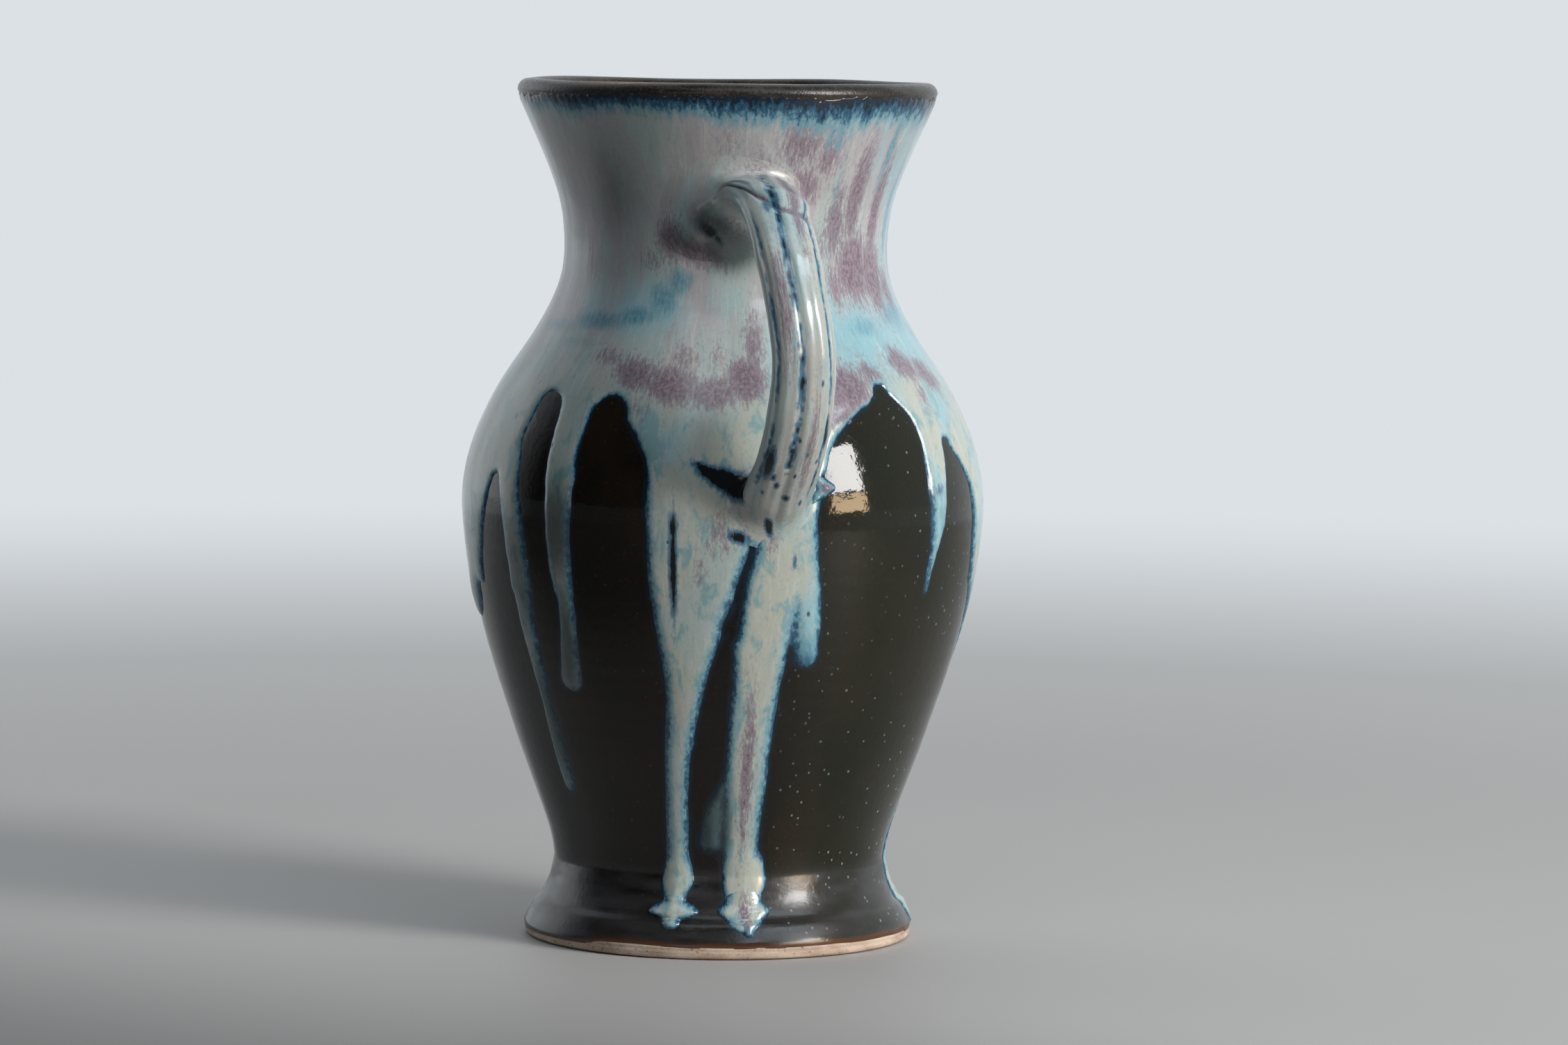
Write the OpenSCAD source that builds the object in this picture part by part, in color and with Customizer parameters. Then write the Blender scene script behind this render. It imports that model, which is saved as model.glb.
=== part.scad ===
// Hand-thrown stoneware vase of jug form, with one pulled strap handle.
// The origin is the centre of the foot's standing face, +Z is up and the handle faces -Y.
// The clay pieces come first (foot, belly, neck, handle, luting clay), then the glazes that lie on them.

/* [Vessel] */
// Height of the whole vase, with its glaze
vase_h = 281.5; // [270:0.5:295]
// Clay radius at the lip
lip_r = 68.4; // [64:0.2:72]
// Clay radius at the narrowest part of the neck
neck_r = 51.8; // [48:0.2:56]
// Clay radius at the widest part of the belly
belly_r = 84.4; // [80:0.2:90]
// Clay radius at the waist, where the belly stands on the foot
waist_r = 53.6; // [50:0.2:57]
// Thickness of the thrown wall
wall = 6; // [5:0.5:8]

/* [Foot] */
// Radius of the standing edge
foot_r = 63.4; // [60:0.2:68]
// Height of the foot, up to its joint with the belly
foot_h = 26; // [24:0.5:30]
// Width of the foot's standing ring
foot_ring_w = 11; // [8:0.5:14]
// Thickness of the floor inside the belly
floor_t = 8; // [6:0.5:11]

/* [Handle] */
// Width of the strap at its middle
strap_w = 18; // [15:0.5:22]
// Thickness of the strap at its middle
strap_t = 8; // [6.5:0.5:9.5]
// Distance from the vase's axis to the middle of the strap, where it stands out furthest
handle_reach = 116; // [108:1:122]

/* [Glaze] */
// Thickness of the dark base glaze
dark_t = 0.5; // [0.3:0.1:0.8]
// Thickness of the pale glaze poured over it
pale_t = 0.9; // [0.6:0.1:1.4]
// Thickness of the beads where runs of glaze stop on the foot
pool_t = 1.8; // [1.2:0.1:2.5]
// Thickness of the band round the lip
band_t = 0.6; // [0.4:0.1:1]
// Thickness of the glaze inside
liner_t = 0.5; // [0.3:0.1:0.8]
// Height of the bare clay edge at the bottom of the foot
bare_h = 4; // [3:0.5:6]

/* [Hidden] */
$fn = 96;

lip_z = vase_h - wall / 2 - band_t; // centre of the lip's rounding
band_low = lip_z - 4.5;             // lower edge of the lip band, outside and inside
neck_z = 198;                       // joint between belly and neck
floor_z = foot_h + floor_t;         // floor inside the belly
corner_r = 14;                      // rounding between that floor and the wall
ledge_z = 12;                       // throwing ledge on the foot
curtain_low = 119.3;                // lower edge of the poured glaze, apart from its runs
run_low = 17;                       // the runs stop above the foot's ledge
bulk_low = 120;                     // the handle's ends are cut to the vessel's outside between this height
bulk_high = 262;                    // and this one
groove_d = 0.35;                    // half the depth of the grooves pulled along the handle

// --- the thrown outline: smooth curves through [height, radius] points ---

swell = belly_r - waist_r;
fall = belly_r - neck_r;
flare = lip_r - neck_r;
foot_low_curve = [
    [0, foot_r],
    [bare_h, foot_r + 0.2],
    [8, foot_r - 1.8],
    [ledge_z, foot_r - 4],
];
foot_high_curve = [
    [ledge_z, foot_r - 5],
    [18, foot_r - 8],
    [foot_h, waist_r],
];
body_curve = [
    [foot_h, waist_r],
    [35, waist_r + 0.06 * swell],
    [70, waist_r + 0.47 * swell],
    [105, waist_r + 0.82 * swell],
    [140, belly_r],
    [160, belly_r - 0.07 * fall],
    [180, belly_r - 0.33 * fall],
    [200, belly_r - 0.73 * fall],
    [215, belly_r - 0.95 * fall],
    [228, neck_r],
    [245, neck_r + 0.16 * flare],
    [lip_z, lip_r],
];

function segment_of(c, z, i = 0) =
    (i >= len(c) - 2 || z < c[i + 1][0]) ? i : segment_of(c, z, i + 1);
function slope_at(c, i) =
    let (a = max(i - 1, 0), b = min(i + 1, len(c) - 1))
    (c[b][1] - c[a][1]) / (c[b][0] - c[a][0]);
// Radius of a curve at height z, by cubic pieces that share their slopes
function on_curve(c, z) =
    let (
        i = segment_of(c, z),
        h = c[i + 1][0] - c[i][0],
        t = (z - c[i][0]) / h
    )
    (2 * t^3 - 3 * t^2 + 1) * c[i][1]
    + (t^3 - 2 * t^2 + t) * slope_at(c, i) * h
    + (3 * t^2 - 2 * t^3) * c[i + 1][1]
    + (t^3 - t^2) * slope_at(c, i + 1) * h;

// Radius of the clay's outside and inside
function clay_r(z) = on_curve(z < ledge_z ? foot_low_curve : z < foot_h ? foot_high_curve : body_curve, z);
function inner_r(z) = clay_r(z) - wall - corner_in(z);
function corner_in(z) =
    let (d = corner_r - (z - floor_z))
    d <= 0 ? 0 : corner_r - sqrt(max(0, corner_r^2 - d^2));

// All pieces take their heights from the same stations, so that they meet face to face.
function steps(low, high, n) = [for (i = [0:n - 1]) low + (high - low) * i / n];
outer_stations = concat(
    [0, bare_h, 8, ledge_z - 0.2],
    steps(ledge_z, foot_h, 4),
    steps(foot_h, neck_z, 36),
    steps(neck_z, band_low, 16),
    [band_low, lip_z]
);
inner_stations = concat(
    steps(floor_z, floor_z + corner_r, 5),
    steps(floor_z + corner_r, neck_z, 22),
    steps(neck_z, band_low, 12),
    [band_low, lip_z]
);
function between(stations, low, high) =
    concat([low], [for (z = stations) if (z > low + 0.01 && z < high - 0.01) z], [high]);
function outside(low, high, out = 0) = [for (z = between(outer_stations, low, high)) [clay_r(z) + out, z]];
function inside(low, high, out = 0) = [for (z = between(inner_stations, low, high)) [inner_r(z) + out, z]];
// The inside with its liner on it, which lies on the floor as well as on the wall
function lined(low, high) = [
    for (z = between(inner_stations, low, high))
        [inner_r(z) - liner_t, z + liner_t * max(0, floor_z + corner_r - z) / corner_r]
];
function reversed(p) = [for (i = [len(p) - 1:-1:0]) p[i]];
// Rounding over the lip, from its outside to its inside
function over_lip(out = 0) =
    let (r = wall / 2 + out)
    [for (a = [15:15:165]) [lip_r - wall / 2 + r * cos(a), lip_z + r * sin(a)]];

// Solid of revolution between two outlines that run the same way
module turned(outer, inner) {
    rotate_extrude() polygon(concat(outer, reversed(inner)));
}
// A coat of glaze on the outside between two heights, from one thickness above the clay to another
module coat(low, high, from, to) {
    turned(outside(low, high, to), outside(low, high, from));
}
// The vessel's bulk where the handle meets it, out to a thickness above the clay
module vessel_bulk(out = 0) {
    rotate_extrude()
        polygon(concat([[0, bulk_low]], outside(bulk_low, bulk_high, out), [[0, bulk_high]]));
}

// --- the handle: an oval swept along a curve in space ---

// [x, distance from the axis, z, width, thickness], from inside the neck's wall to inside the belly's
handle_path = [
    [-5.5, 45, 237, strap_w + 22, strap_t + 17],
    [-5, 53.4, 240.3, strap_w + 13.4, strap_t + 8.5],
    [-4.5, 60.5, 243.5, strap_w + 7, strap_t + 3],
    [-5, 71, 246.5, strap_w + 3, strap_t + 1],
    [-5, 87, 243.5, strap_w + 1, strap_t + 0.5],
    [-4.5, handle_reach - 13, 233, strap_w, strap_t],
    [-2.5, handle_reach - 4, 216, strap_w - 0.5, strap_t],
    [-0.5, handle_reach, 197, strap_w, strap_t],
    [-0.5, handle_reach - 3.5, 179, strap_w + 0.5, strap_t],
    [-1.5, handle_reach - 11.5, 165, strap_w + 1, strap_t + 0.4],
    [-2, handle_reach - 22, 155.5, strap_w + 2, strap_t + 2],
    [-1, 86, 150, strap_w + 3, strap_t + 5],
    [0, 76, 145, strap_w + 6, strap_t + 10],
];
path_end = len(handle_path) - 1;
strap_begin = 2; // the strap runs from this point of the path
strap_end = 10;  // to this one; luting clay joins it to the wall
path_steps = 3;  // rings between two points of the path
ring_sides = 18; // sides of a ring

// Smooth curve through a list of points, between point i and the next
function spline(p, i, t) =
    let (
        a = p[max(i - 1, 0)],
        b = p[i],
        c = p[i + 1],
        d = p[min(i + 2, len(p) - 1)]
    )
    0.5 * (2 * b + (c - a) * t + (2 * a - 5 * b + 4 * c - d) * t^2 + (3 * b - a - 3 * c + d) * t^3);
path_rings = [
    for (i = [0:path_end - 1], k = [0:path_steps - 1]) spline(handle_path, i, k / path_steps),
    handle_path[path_end],
];
last_ring = len(path_rings) - 1;

function place(s) = [s[0], -s[1], s[2]];
function unit(v) = v / norm(v);
function path_dir(i) = unit(place(path_rings[min(i + 1, last_ring)]) - place(path_rings[max(i - 1, 0)]));
// One ring, with shallow grooves pulled along its outer face
function ring(i, grow) =
    let (
        s = path_rings[i],
        dir = path_dir(i),
        side = unit([1, 0, 0] - dir * dir[0]),
        out = cross(dir, side)
    )
    [
        for (k = [0:ring_sides - 1])
            let (
                a = 360 * k / ring_sides,
                groove = groove_d * (1 - cos(4 * a)) * max(0, sin(a))^2
            )
            place(s) + side * (s[3] / 2 + grow) * cos(a) + out * (s[4] / 2 + grow - groove) * sin(a)
    ];
// Triangles between two loops of points that start at these places in the list
function skin(first, second) = [
    for (k = [0:ring_sides - 1])
        let (next = (k + 1) % ring_sides)
        each [[first + k, second + next, first + next], [first + k, second + k, second + next]]
];
// The handle's clay between two points of its path
module path_clay(begin, end) {
    m = ring_sides;
    n = (end - begin) * path_steps;
    points = [for (i = [0:n]) each ring(begin * path_steps + i, 0)];
    sides = [for (i = [0:n - 1]) each skin(i * m, (i + 1) * m)];
    caps = [[for (k = [0:m - 1]) k], [for (k = [m - 1:-1:0]) n * m + k]];
    polyhedron(points, concat(sides, caps), convexity = 6);
}
// A coat round the handle's clay: an outer skin, an inner skin and a flat rim at each end
module path_coat(thick) {
    m = ring_sides;
    outer = [for (i = [0:last_ring]) each ring(i, thick)];
    inner = [for (i = [0:last_ring]) each ring(i, 0)];
    base = len(outer);
    faces = concat(
        [for (i = [0:last_ring - 1]) each skin(i * m, (i + 1) * m)],
        [for (i = [last_ring:-1:1]) each skin(base + i * m, base + (i - 1) * m)],
        skin(base, 0),
        skin(last_ring * m, base + last_ring * m)
    );
    polyhedron(concat(outer, inner), faces, convexity = 8);
}
module luting(begin, end) {
    difference() {
        path_clay(begin, end);
        vessel_bulk();
    }
}

// --- streaks of glaze ---

// A streak is a list of [angle, z, half its width] down its middle. Angles are in degrees from
// the handle, positive to the right when the handle faces the viewer.
arches = [ // where the pale glaze left the dark glaze bare
    [[-76, 158, 2], [-76, 145, 5], [-75, 110, 7]],
    [[-60, 176, 5], [-60, 160, 7], [-59, 110, 9]],
    [[-41, 174, 8], [-39, 158, 13], [-38.5, 110, 14]],
    [[31, 176, 6], [26, 165, 18], [24, 148, 25], [25, 110, 25]],
    [[51, 162, 4], [54, 148, 9], [56, 110, 14]],
    [[118, 166, 9], [118, 150, 16], [118, 110, 20]],
    [[150, 178, 8], [151, 160, 13], [151, 110, 17]],
    [[186, 160, 8], [186, 145, 14], [186, 110, 17]],
    [[222, 171, 10], [222, 150, 17], [223, 110, 19]],
    [[250, 166, 5], [251, 150, 10], [251, 110, 12]],
];
runs = [ // down to their rounded tips
    [[-69, 150, 4.5], [-64, 116, 4.5], [-64, 84, 3.5], [-63, 56, 4]],
    [[-51.5, 160, 5], [-51.5, 118, 6], [-51, 96, 5.5], [-51.5, 90, 5]],
    [[-18, 150, 20], [-19.5, 115, 13], [-20.5, 90, 7], [-24, 68, 6], [-25.5, 34, 5], [-27, 12, 5]],
    [[0, 148, 13], [-2, 120, 10.5], [-3, 104, 9], [-4.5, 88, 8], [-5, 56, 8], [-4, 12, 7.5]],
    [[7, 140, 5], [8, 118, 4.5], [8, 104, 3.5]],
    [[-12, 58, 2], [-14, 48, 3], [-15, 38, 4]],
    [[44.5, 172, 6], [44.5, 150, 5], [43, 138, 4]],
    [[84, 150, 26], [84, 118, 24], [85, 98, 12], [86, 74, 8], [86, 12, 7]],
    [[135, 150, 9], [134, 110, 7], [134, 74, 6]],
    [[169, 150, 10], [169, 112, 7], [169, 96, 6]],
    [[204, 150, 10], [204, 110, 7], [205, 80, 6], [205, 44, 5]],
    [[238, 150, 7], [238, 110, 6], [238, 88, 5]],
    [[266, 150, 13], [267, 118, 10], [267, 112, 9]],
];
pools = [ // beads stopped on the foot's ledge
    [[-27, 18.2, 4], [-27, 14.9, 8], [-27, 13.1, 8.2], [-27, 11.1, 2.6]],
    [[-4.5, 18.2, 6], [-4.5, 14.7, 8.5], [-4, 11.4, 6], [-3, 9, 2.2]],
    [[86, 18.2, 5], [86, 14.9, 9], [86, 12.6, 8.3], [86, 10.9, 2.8]],
];

streak_near = 30; // a streak's prism reaches from this distance to the axis
streak_far = 110; // out to this one
// How far along a flat sheet, facing outwards at angle mid, a streak's point lies
function across(p, mid) = clay_r(p[1]) * sin(p[0] - mid);
// Half a circle round a streak's end, from angle to angle
function rounding(p, mid, from, to) = [
    for (i = [1:5])
        let (a = from + (to - from) * i / 6)
        [across(p, mid) + p[2] * cos(a), p[1] + p[2] * sin(a)]
];
// A prism through the wall with a streak's outline, rounded at its top or at its tip
module streak(s, rounded) {
    last = len(s) - 1;
    mid = (s[0][0] + s[last][0]) / 2;
    rotate([0, 0, mid]) rotate([90, 0, 0]) translate([0, 0, streak_near])
        linear_extrude(streak_far - streak_near)
            polygon(concat(
                [for (p = s) [across(p, mid) - p[2], p[1]]],
                rounded == "tip" ? rounding(s[last], mid, 180, 360) : [],
                [for (p = reversed(s)) [across(p, mid) + p[2], p[1]]],
                rounded == "top" ? rounding(s[0], mid, 0, 180) : []
            ));
}

// --- clay ---

module foot_ring() {
    color("#8f7a66")
        turned(outside(0, foot_h), [[foot_r - foot_ring_w, 0], [waist_r - foot_ring_w, foot_h]]);
}

module belly() {
    color("#7d6a58")
        turned(
            concat([[0, foot_h]], outside(foot_h, neck_z)),
            concat([[0, floor_z]], inside(floor_z, neck_z))
        );
}

module neck() {
    color("#7d6a58")
        turned(concat(outside(neck_z, lip_z), over_lip()), inside(neck_z, lip_z));
}

module handle() {
    color("#a39a8a") path_clay(strap_begin, strap_end);
}

module upper_lute() {
    color("#978c7b") luting(0, strap_begin);
}

module lower_lute() {
    color("#978c7b") luting(strap_end, path_end);
}

// --- glaze ---

module liner_glaze() {
    color("#3a332c")
        turned(
            concat([[0, floor_z]], inside(floor_z, band_low)),
            concat([[0, floor_z + liner_t]], lined(floor_z, band_low))
        );
}

module dark_glaze() {
    color("#332e28")
        difference() {
            coat(bare_h, band_low, 0, dark_t);
            path_clay(0, strap_begin);
            path_clay(strap_end, path_end);
        }
}

// What the pale glaze leaves bare: the arches, and all below the curtain except the runs
module bare_patches() {
    difference() {
        union() {
            difference() {
                translate([0, 0, run_low - 5]) cylinder(curtain_low - run_low + 5, r = streak_far);
                translate([0, 0, run_low - 6]) cylinder(curtain_low - run_low + 7, r = streak_near);
            }
            for (a = arches) streak(a, "top");
        }
        for (r = runs) streak(r, "tip");
    }
}
module pale_glaze() {
    color("#c3d0d2")
        difference() {
            coat(run_low, band_low, dark_t, dark_t + pale_t);
            bare_patches();
            path_clay(0, strap_begin);
            path_clay(strap_end, path_end);
        }
}

module handle_glaze() {
    color("#c3d0d2")
        difference() {
            path_coat(pale_t);
            vessel_bulk(dark_t + pale_t);
        }
}

module foot_pools() {
    color("#b7c6cc")
        intersection() {
            coat(bare_h + 1, run_low, dark_t, dark_t + pool_t);
            union() for (p = pools) streak(p, "tip");
        }
}

// Up the outside of the lip, over it and down its inside, at a thickness above the clay
function round_lip(out = 0) =
    concat(outside(band_low, lip_z, out), over_lip(out), reversed(inside(band_low, lip_z, -out)));
module rim_band() {
    color("#3d312a") turned(round_lip(band_t), round_lip());
}

foot_ring();
belly();
neck();
handle();
upper_lute();
lower_lute();
liner_glaze();
dark_glaze();
pale_glaze();
handle_glaze();
foot_pools();
rim_band();
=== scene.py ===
import math

import bpy
import numpy as np
from mathutils import Matrix, Vector


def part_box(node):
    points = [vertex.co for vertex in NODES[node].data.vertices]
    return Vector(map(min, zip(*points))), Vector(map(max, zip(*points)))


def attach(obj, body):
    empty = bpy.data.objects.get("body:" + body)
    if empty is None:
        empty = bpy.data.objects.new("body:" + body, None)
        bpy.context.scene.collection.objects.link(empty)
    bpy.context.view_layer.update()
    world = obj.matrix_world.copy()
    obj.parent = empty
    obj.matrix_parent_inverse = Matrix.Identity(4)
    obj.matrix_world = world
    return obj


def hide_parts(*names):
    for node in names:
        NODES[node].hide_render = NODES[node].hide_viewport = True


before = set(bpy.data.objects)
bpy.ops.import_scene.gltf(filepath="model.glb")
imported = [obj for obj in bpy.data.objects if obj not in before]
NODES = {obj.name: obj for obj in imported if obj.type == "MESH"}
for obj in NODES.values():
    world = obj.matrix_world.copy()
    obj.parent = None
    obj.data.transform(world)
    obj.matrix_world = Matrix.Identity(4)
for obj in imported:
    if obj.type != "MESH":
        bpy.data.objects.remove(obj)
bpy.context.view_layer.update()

MM = 0.001

# Angles are in degrees from the handle (-Y), positive to the right when the handle faces the viewer.
# Lengths are in millimetres until a mesh is written.


# ---- the thrown outline, from the CAD

RING_POINTS = 40  # a ring of the turned solids has at least so many points


def outline(node):
    """Heights, outer radii and inner radii of the rings of a turned CAD node."""
    co = np.array([v.co[:] for v in NODES[node].data.vertices]) / MM
    z, r = np.round(co[:, 2], 2), np.hypot(co[:, 0], co[:, 1])
    rings = [h for h in np.unique(z) if (z == h).sum() >= RING_POINTS]
    return (np.array(rings),) + tuple(np.array([end(r[z == h]) for h in rings]) for end in (np.max, np.min))


def smooth_through(x, y):
    """Cubic pieces through points, as a function."""
    m = np.gradient(y, x)

    def at(q):
        q = np.clip(np.asarray(q, float), x[0], x[-1])
        i = np.clip(np.searchsorted(x, q) - 1, 0, len(x) - 2)
        h = x[i + 1] - x[i]
        t = (q - x[i]) / h
        return ((2 * t**3 - 3 * t**2 + 1) * y[i] + (t**3 - 2 * t**2 + t) * m[i] * h
                + (3 * t**2 - 2 * t**3) * y[i + 1] + (t**3 - t**2) * m[i + 1] * h)
    return at


glaze_z, glaze_r, _ = outline("dark_glaze")
liner_z, _, liner_in = outline("liner_glaze")
BARE_Z = float(glaze_z[0])           # the bare clay edge's height
BAND_Z = float(glaze_z[-1])          # lower edge of the lip band
LEDGE_Z, WAIST_Z = 12.0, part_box("belly")[0].z / MM
JOINT_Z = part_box("neck")[0].z / MM
TOP_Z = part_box("rim_band")[1].z / MM
FLOOR_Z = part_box("liner_glaze")[0].z / MM
below_ledge = glaze_z < LEDGE_Z - 0.05
above_waist = glaze_z > WAIST_Z - 0.01
between = ~below_ledge & (glaze_z < WAIST_Z + 0.01)
foot_low = smooth_through(glaze_z[below_ledge], glaze_r[below_ledge])
foot_high = smooth_through(glaze_z[between], glaze_r[between])
band_z, band_r, _ = outline("rim_band")
lip = (band_z > BAND_Z + 0.5) & (band_z < TOP_Z - 3)
body_part = smooth_through(np.append(glaze_z[above_waist], band_z[lip]),
                           np.append(glaze_r[above_waist], band_r[lip] - 0.1))


def step(x, a, b):
    """A soft step from 0 at a to 1 at b."""
    t = np.clip((x - a) / (b - a), 0, 1)
    return t * t * (3 - 2 * t)


def window(x, a, b, c, d):
    """Rises from 0 to 1 between a and b, and falls back to 0 between c and d."""
    return step(x, a, b) * (1 - step(x, c, d))


def skin_r(z):
    """Radius of the dark glaze at a height, with the throwing ledge and the waist crease softened."""
    z = np.asarray(z, float)
    low, high = foot_low(z), foot_high(z)
    foot = low + (high - low) * step(z, LEDGE_Z - 1.0, LEDGE_Z + 0.6)
    return np.where(z < WAIST_Z, foot, body_part(z))


# ---- noise

def lattice(i, j, k, seed):
    """A number between -1 and 1 for each whole place, always the same one."""
    h = (i * 374761393 + j * 668265263 + k * 2147483647 + seed * 1274126177) & 0xFFFFFFFF
    h = ((h ^ (h >> 13)) * 1274126177) & 0xFFFFFFFF
    return ((h ^ (h >> 16)) & 0xFFFF) / 65535.0 * 2 - 1


def noise3(x, y, z, seed=0):
    """Smooth value noise between -1 and 1."""
    x, y, z = np.broadcast_arrays(np.asarray(x, float), np.asarray(y, float), np.asarray(z, float))
    i, j, k = (np.floor(v).astype(np.int64) for v in (x, y, z))
    u, v, w = (f * f * (3 - 2 * f) for f in (x - i, y - j, z - k))
    out = 0
    for a in (0, 1):
        for b in (0, 1):
            for c in (0, 1):
                weight = (u if a else 1 - u) * (v if b else 1 - v) * (w if c else 1 - w)
                out = out + weight * lattice(i + a, j + b, k + c, seed)
    return out


# radii in mm at which sizes round the body are given: of noise, of soft spots and of the streaks' flow
NOISE_R, SPOT_R, FLOW_R = 75, 68, 60


def around(theta, z, across, along, seed=0, octaves=2):
    """Noise on the vessel: `across` is its size round the body in mm, `along` up it."""
    t = np.radians(theta)
    out, gain = 0, 1.0
    for o in range(octaves):
        f = 2**o
        x, y = (NOISE_R * way(t) / across * f for way in (np.sin, np.cos))
        out = out + gain * noise3(x, y, z / along * f, seed + o)
        gain *= 0.5
    return out


# ---- the vessel's surface

def wobble(theta, z):
    """How far the hand-thrown wall strays from the turned outline."""
    t = np.radians(theta)
    oval = 0.25 * np.cos(2 * t + 0.6) * step(z, 60, 240)
    rings = 0.03 * np.sin(2 * math.pi * z / 6.1 + t + 1.6 * np.sin(z / 17.0)) * step(z, 28, 50)
    rings = rings * (0.5 + 0.5 * noise3(z / 19.0, 0.3, 0.1, 15)) + 0.05 * noise3(z / 7.0, 0.5, 0.2, 16)
    soft = 0.22 * around(theta, z, 60, 45, 11, 2) * window(z, 26, 60, 262, 276)
    return oval + rings + soft


def wall_r(theta, z):
    return skin_r(z) + wobble(theta, z)


# ---- the pale glaze's layout

# A streak is a list of (angle, height, half its width in mm) down its middle, from the top.
RUNS = [  # each ends in a rounded tip
    [(-67, 160, 4), (-64, 115, 4.5), (-63, 86, 3), (-63, 54, 3.5)],
    [(-51, 170, 5), (-51, 130, 4.5), (-50, 110, 3.5), (-52, 90, 4.5)],
    [(-18, 145, 16), (-20, 108, 11), (-21, 88, 6), (-24, 65, 4.5), (-26, 30, 3.5), (-27, 14, 3.5)],
    [(-26, 28, 4), (-26, 25, 4.5)],
    [(-1, 150, 13), (-2, 120, 10.5), (-3, 104, 9), (-4, 88, 7.5), (-5, 60, 7), (-5, 30, 6), (-4, 14, 6)],
    [(-3, 28, 6), (-3, 25, 7)],
    [(3, 135, 8), (7, 115, 5), (8, 100, 4)],
    [(-12, 56, 1), (-14, 46, 3), (-15, 37, 3.5)],
    [(44, 172, 5), (43, 160, 4.5), (42, 152, 4)],
    [(83, 150, 34), (84, 125, 29), (87, 102, 14), (88, 78, 7), (87, 48, 6), (85, 28, 9), (85, 14, 11)],
    [(134, 160, 11), (134, 110, 7), (134, 74, 6)],
    [(169, 160, 12), (168, 115, 7), (168, 95, 5)],
    [(-156, 160, 12), (-156, 110, 7), (-155, 80, 6), (-156, 45, 5)],
    [(-122, 160, 10), (-122, 110, 6), (-122, 88, 5)],
    [(-93, 155, 15), (-93, 125, 12), (-94, 114, 9)],
]
ARCHES = [  # where the poured coat left the dark glaze bare; each begins with a rounded top
    [(-73, 152, 2), (-73, 140, 7), (-75, 118, 11), (-75, 100, 11)],
    [(-60, 176, 5.5), (-60, 164, 7.5), (-58, 147, 6.5), (-57, 128, 5.5), (-57, 100, 5.5)],
    [(-41, 174, 7), (-39, 164, 12), (-38, 145, 14), (-38, 100, 14)],
    [(31, 182, 3), (28, 172, 15), (25, 158, 21), (24, 145, 23), (24, 100, 22)],
    [(50, 165, 2.5), (52, 155, 8), (53, 142, 12), (53, 127, 16), (53, 100, 20)],
    [(118, 166, 9), (118, 150, 15), (118, 100, 20)],
    [(150, 178, 7), (151, 162, 13), (151, 100, 16)],
    [(-174, 160, 8), (-174, 146, 13), (-174, 100, 17)],
    [(-138, 172, 10), (-138, 150, 16), (-138, 100, 19)],
    [(-110, 164, 7), (-109, 145, 11), (-109, 100, 12)],
]
GAPS = [  # thin splits between two runs
    [(-6, 140, 0.5), (-6, 134, 0.8), (-8, 124, 1.2), (-9, 114, 1.8), (-10, 106, 2)],
]
CURTAIN_Z = 118  # below this height the pale glaze has only its runs
FILLET = 3.0     # how softly a run leaves the coat, in mm
FAR = 99.0       # a distance in mm that reaches past everything
EDGE_WIDTH = 12  # distances from the edge are told apart up to this one, in mm


def off(theta, middle):
    """Degrees from a middle angle, between -180 and 180."""
    return (theta - middle + 180) % 360 - 180


def streak_distance(theta, z, rows):
    """Signed distance in mm inside a streak with rounded ends, positive inside."""
    a, h, w = np.array(rows[::-1], float).T
    middle, half = smooth_through(h, a), smooth_through(h, w)
    zc = np.clip(z, h[0], h[-1])
    mm = np.radians(skin_r(z))
    x = off(theta, middle(zc)) * mm
    side = np.sign(x)
    lean = (half(zc + 1) - half(zc - 1) + side * mm * (middle(zc + 1) - middle(zc - 1))) / 2
    return np.where(z == zc, (half(zc) - np.abs(x)) / np.sqrt(1 + lean**2), half(zc) - np.hypot(x, z - zc))


def soft_max(a, b, k):
    """The larger of two values, rounded where they are within k of each other."""
    return np.maximum(a, b) + np.maximum(k - np.abs(a - b), 0)**2 / (4 * k)


def edge_distance(theta, z):
    """Signed distance in mm from the pale glaze's lower edge, positive on the glaze."""
    bare = np.full(theta.shape, -FAR)
    for rows in ARCHES:
        bare = soft_max(bare, streak_distance(theta, z, rows), 1.0)
    out = np.minimum(z - CURTAIN_Z, -bare)
    for rows in RUNS:
        out = soft_max(out, streak_distance(theta, z, rows), FILLET)
    for rows in GAPS:
        out = np.minimum(out, -streak_distance(theta, z, rows))
    return np.clip(out, -EDGE_WIDTH, EDGE_WIDTH)


def blob(theta, z, angle, height, across, along, strength=1, turn=0):
    """One soft spot, strongest at its middle."""
    dx, dz = np.radians(off(theta, angle)) * SPOT_R, z - height
    c, s = math.cos(math.radians(turn)), math.sin(math.radians(turn))
    u, v = (dx * c + dz * s) / across, (-dx * s + dz * c) / along
    return strength * np.exp(-(u * u + v * v))


def blobs(theta, z, rows):
    """Soft spots from a list; where they meet, the stronger one counts."""
    out = np.zeros(np.broadcast(theta, z).shape)
    for row in rows:
        out = np.maximum(out, blob(theta, z, *row))
    return out


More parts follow.
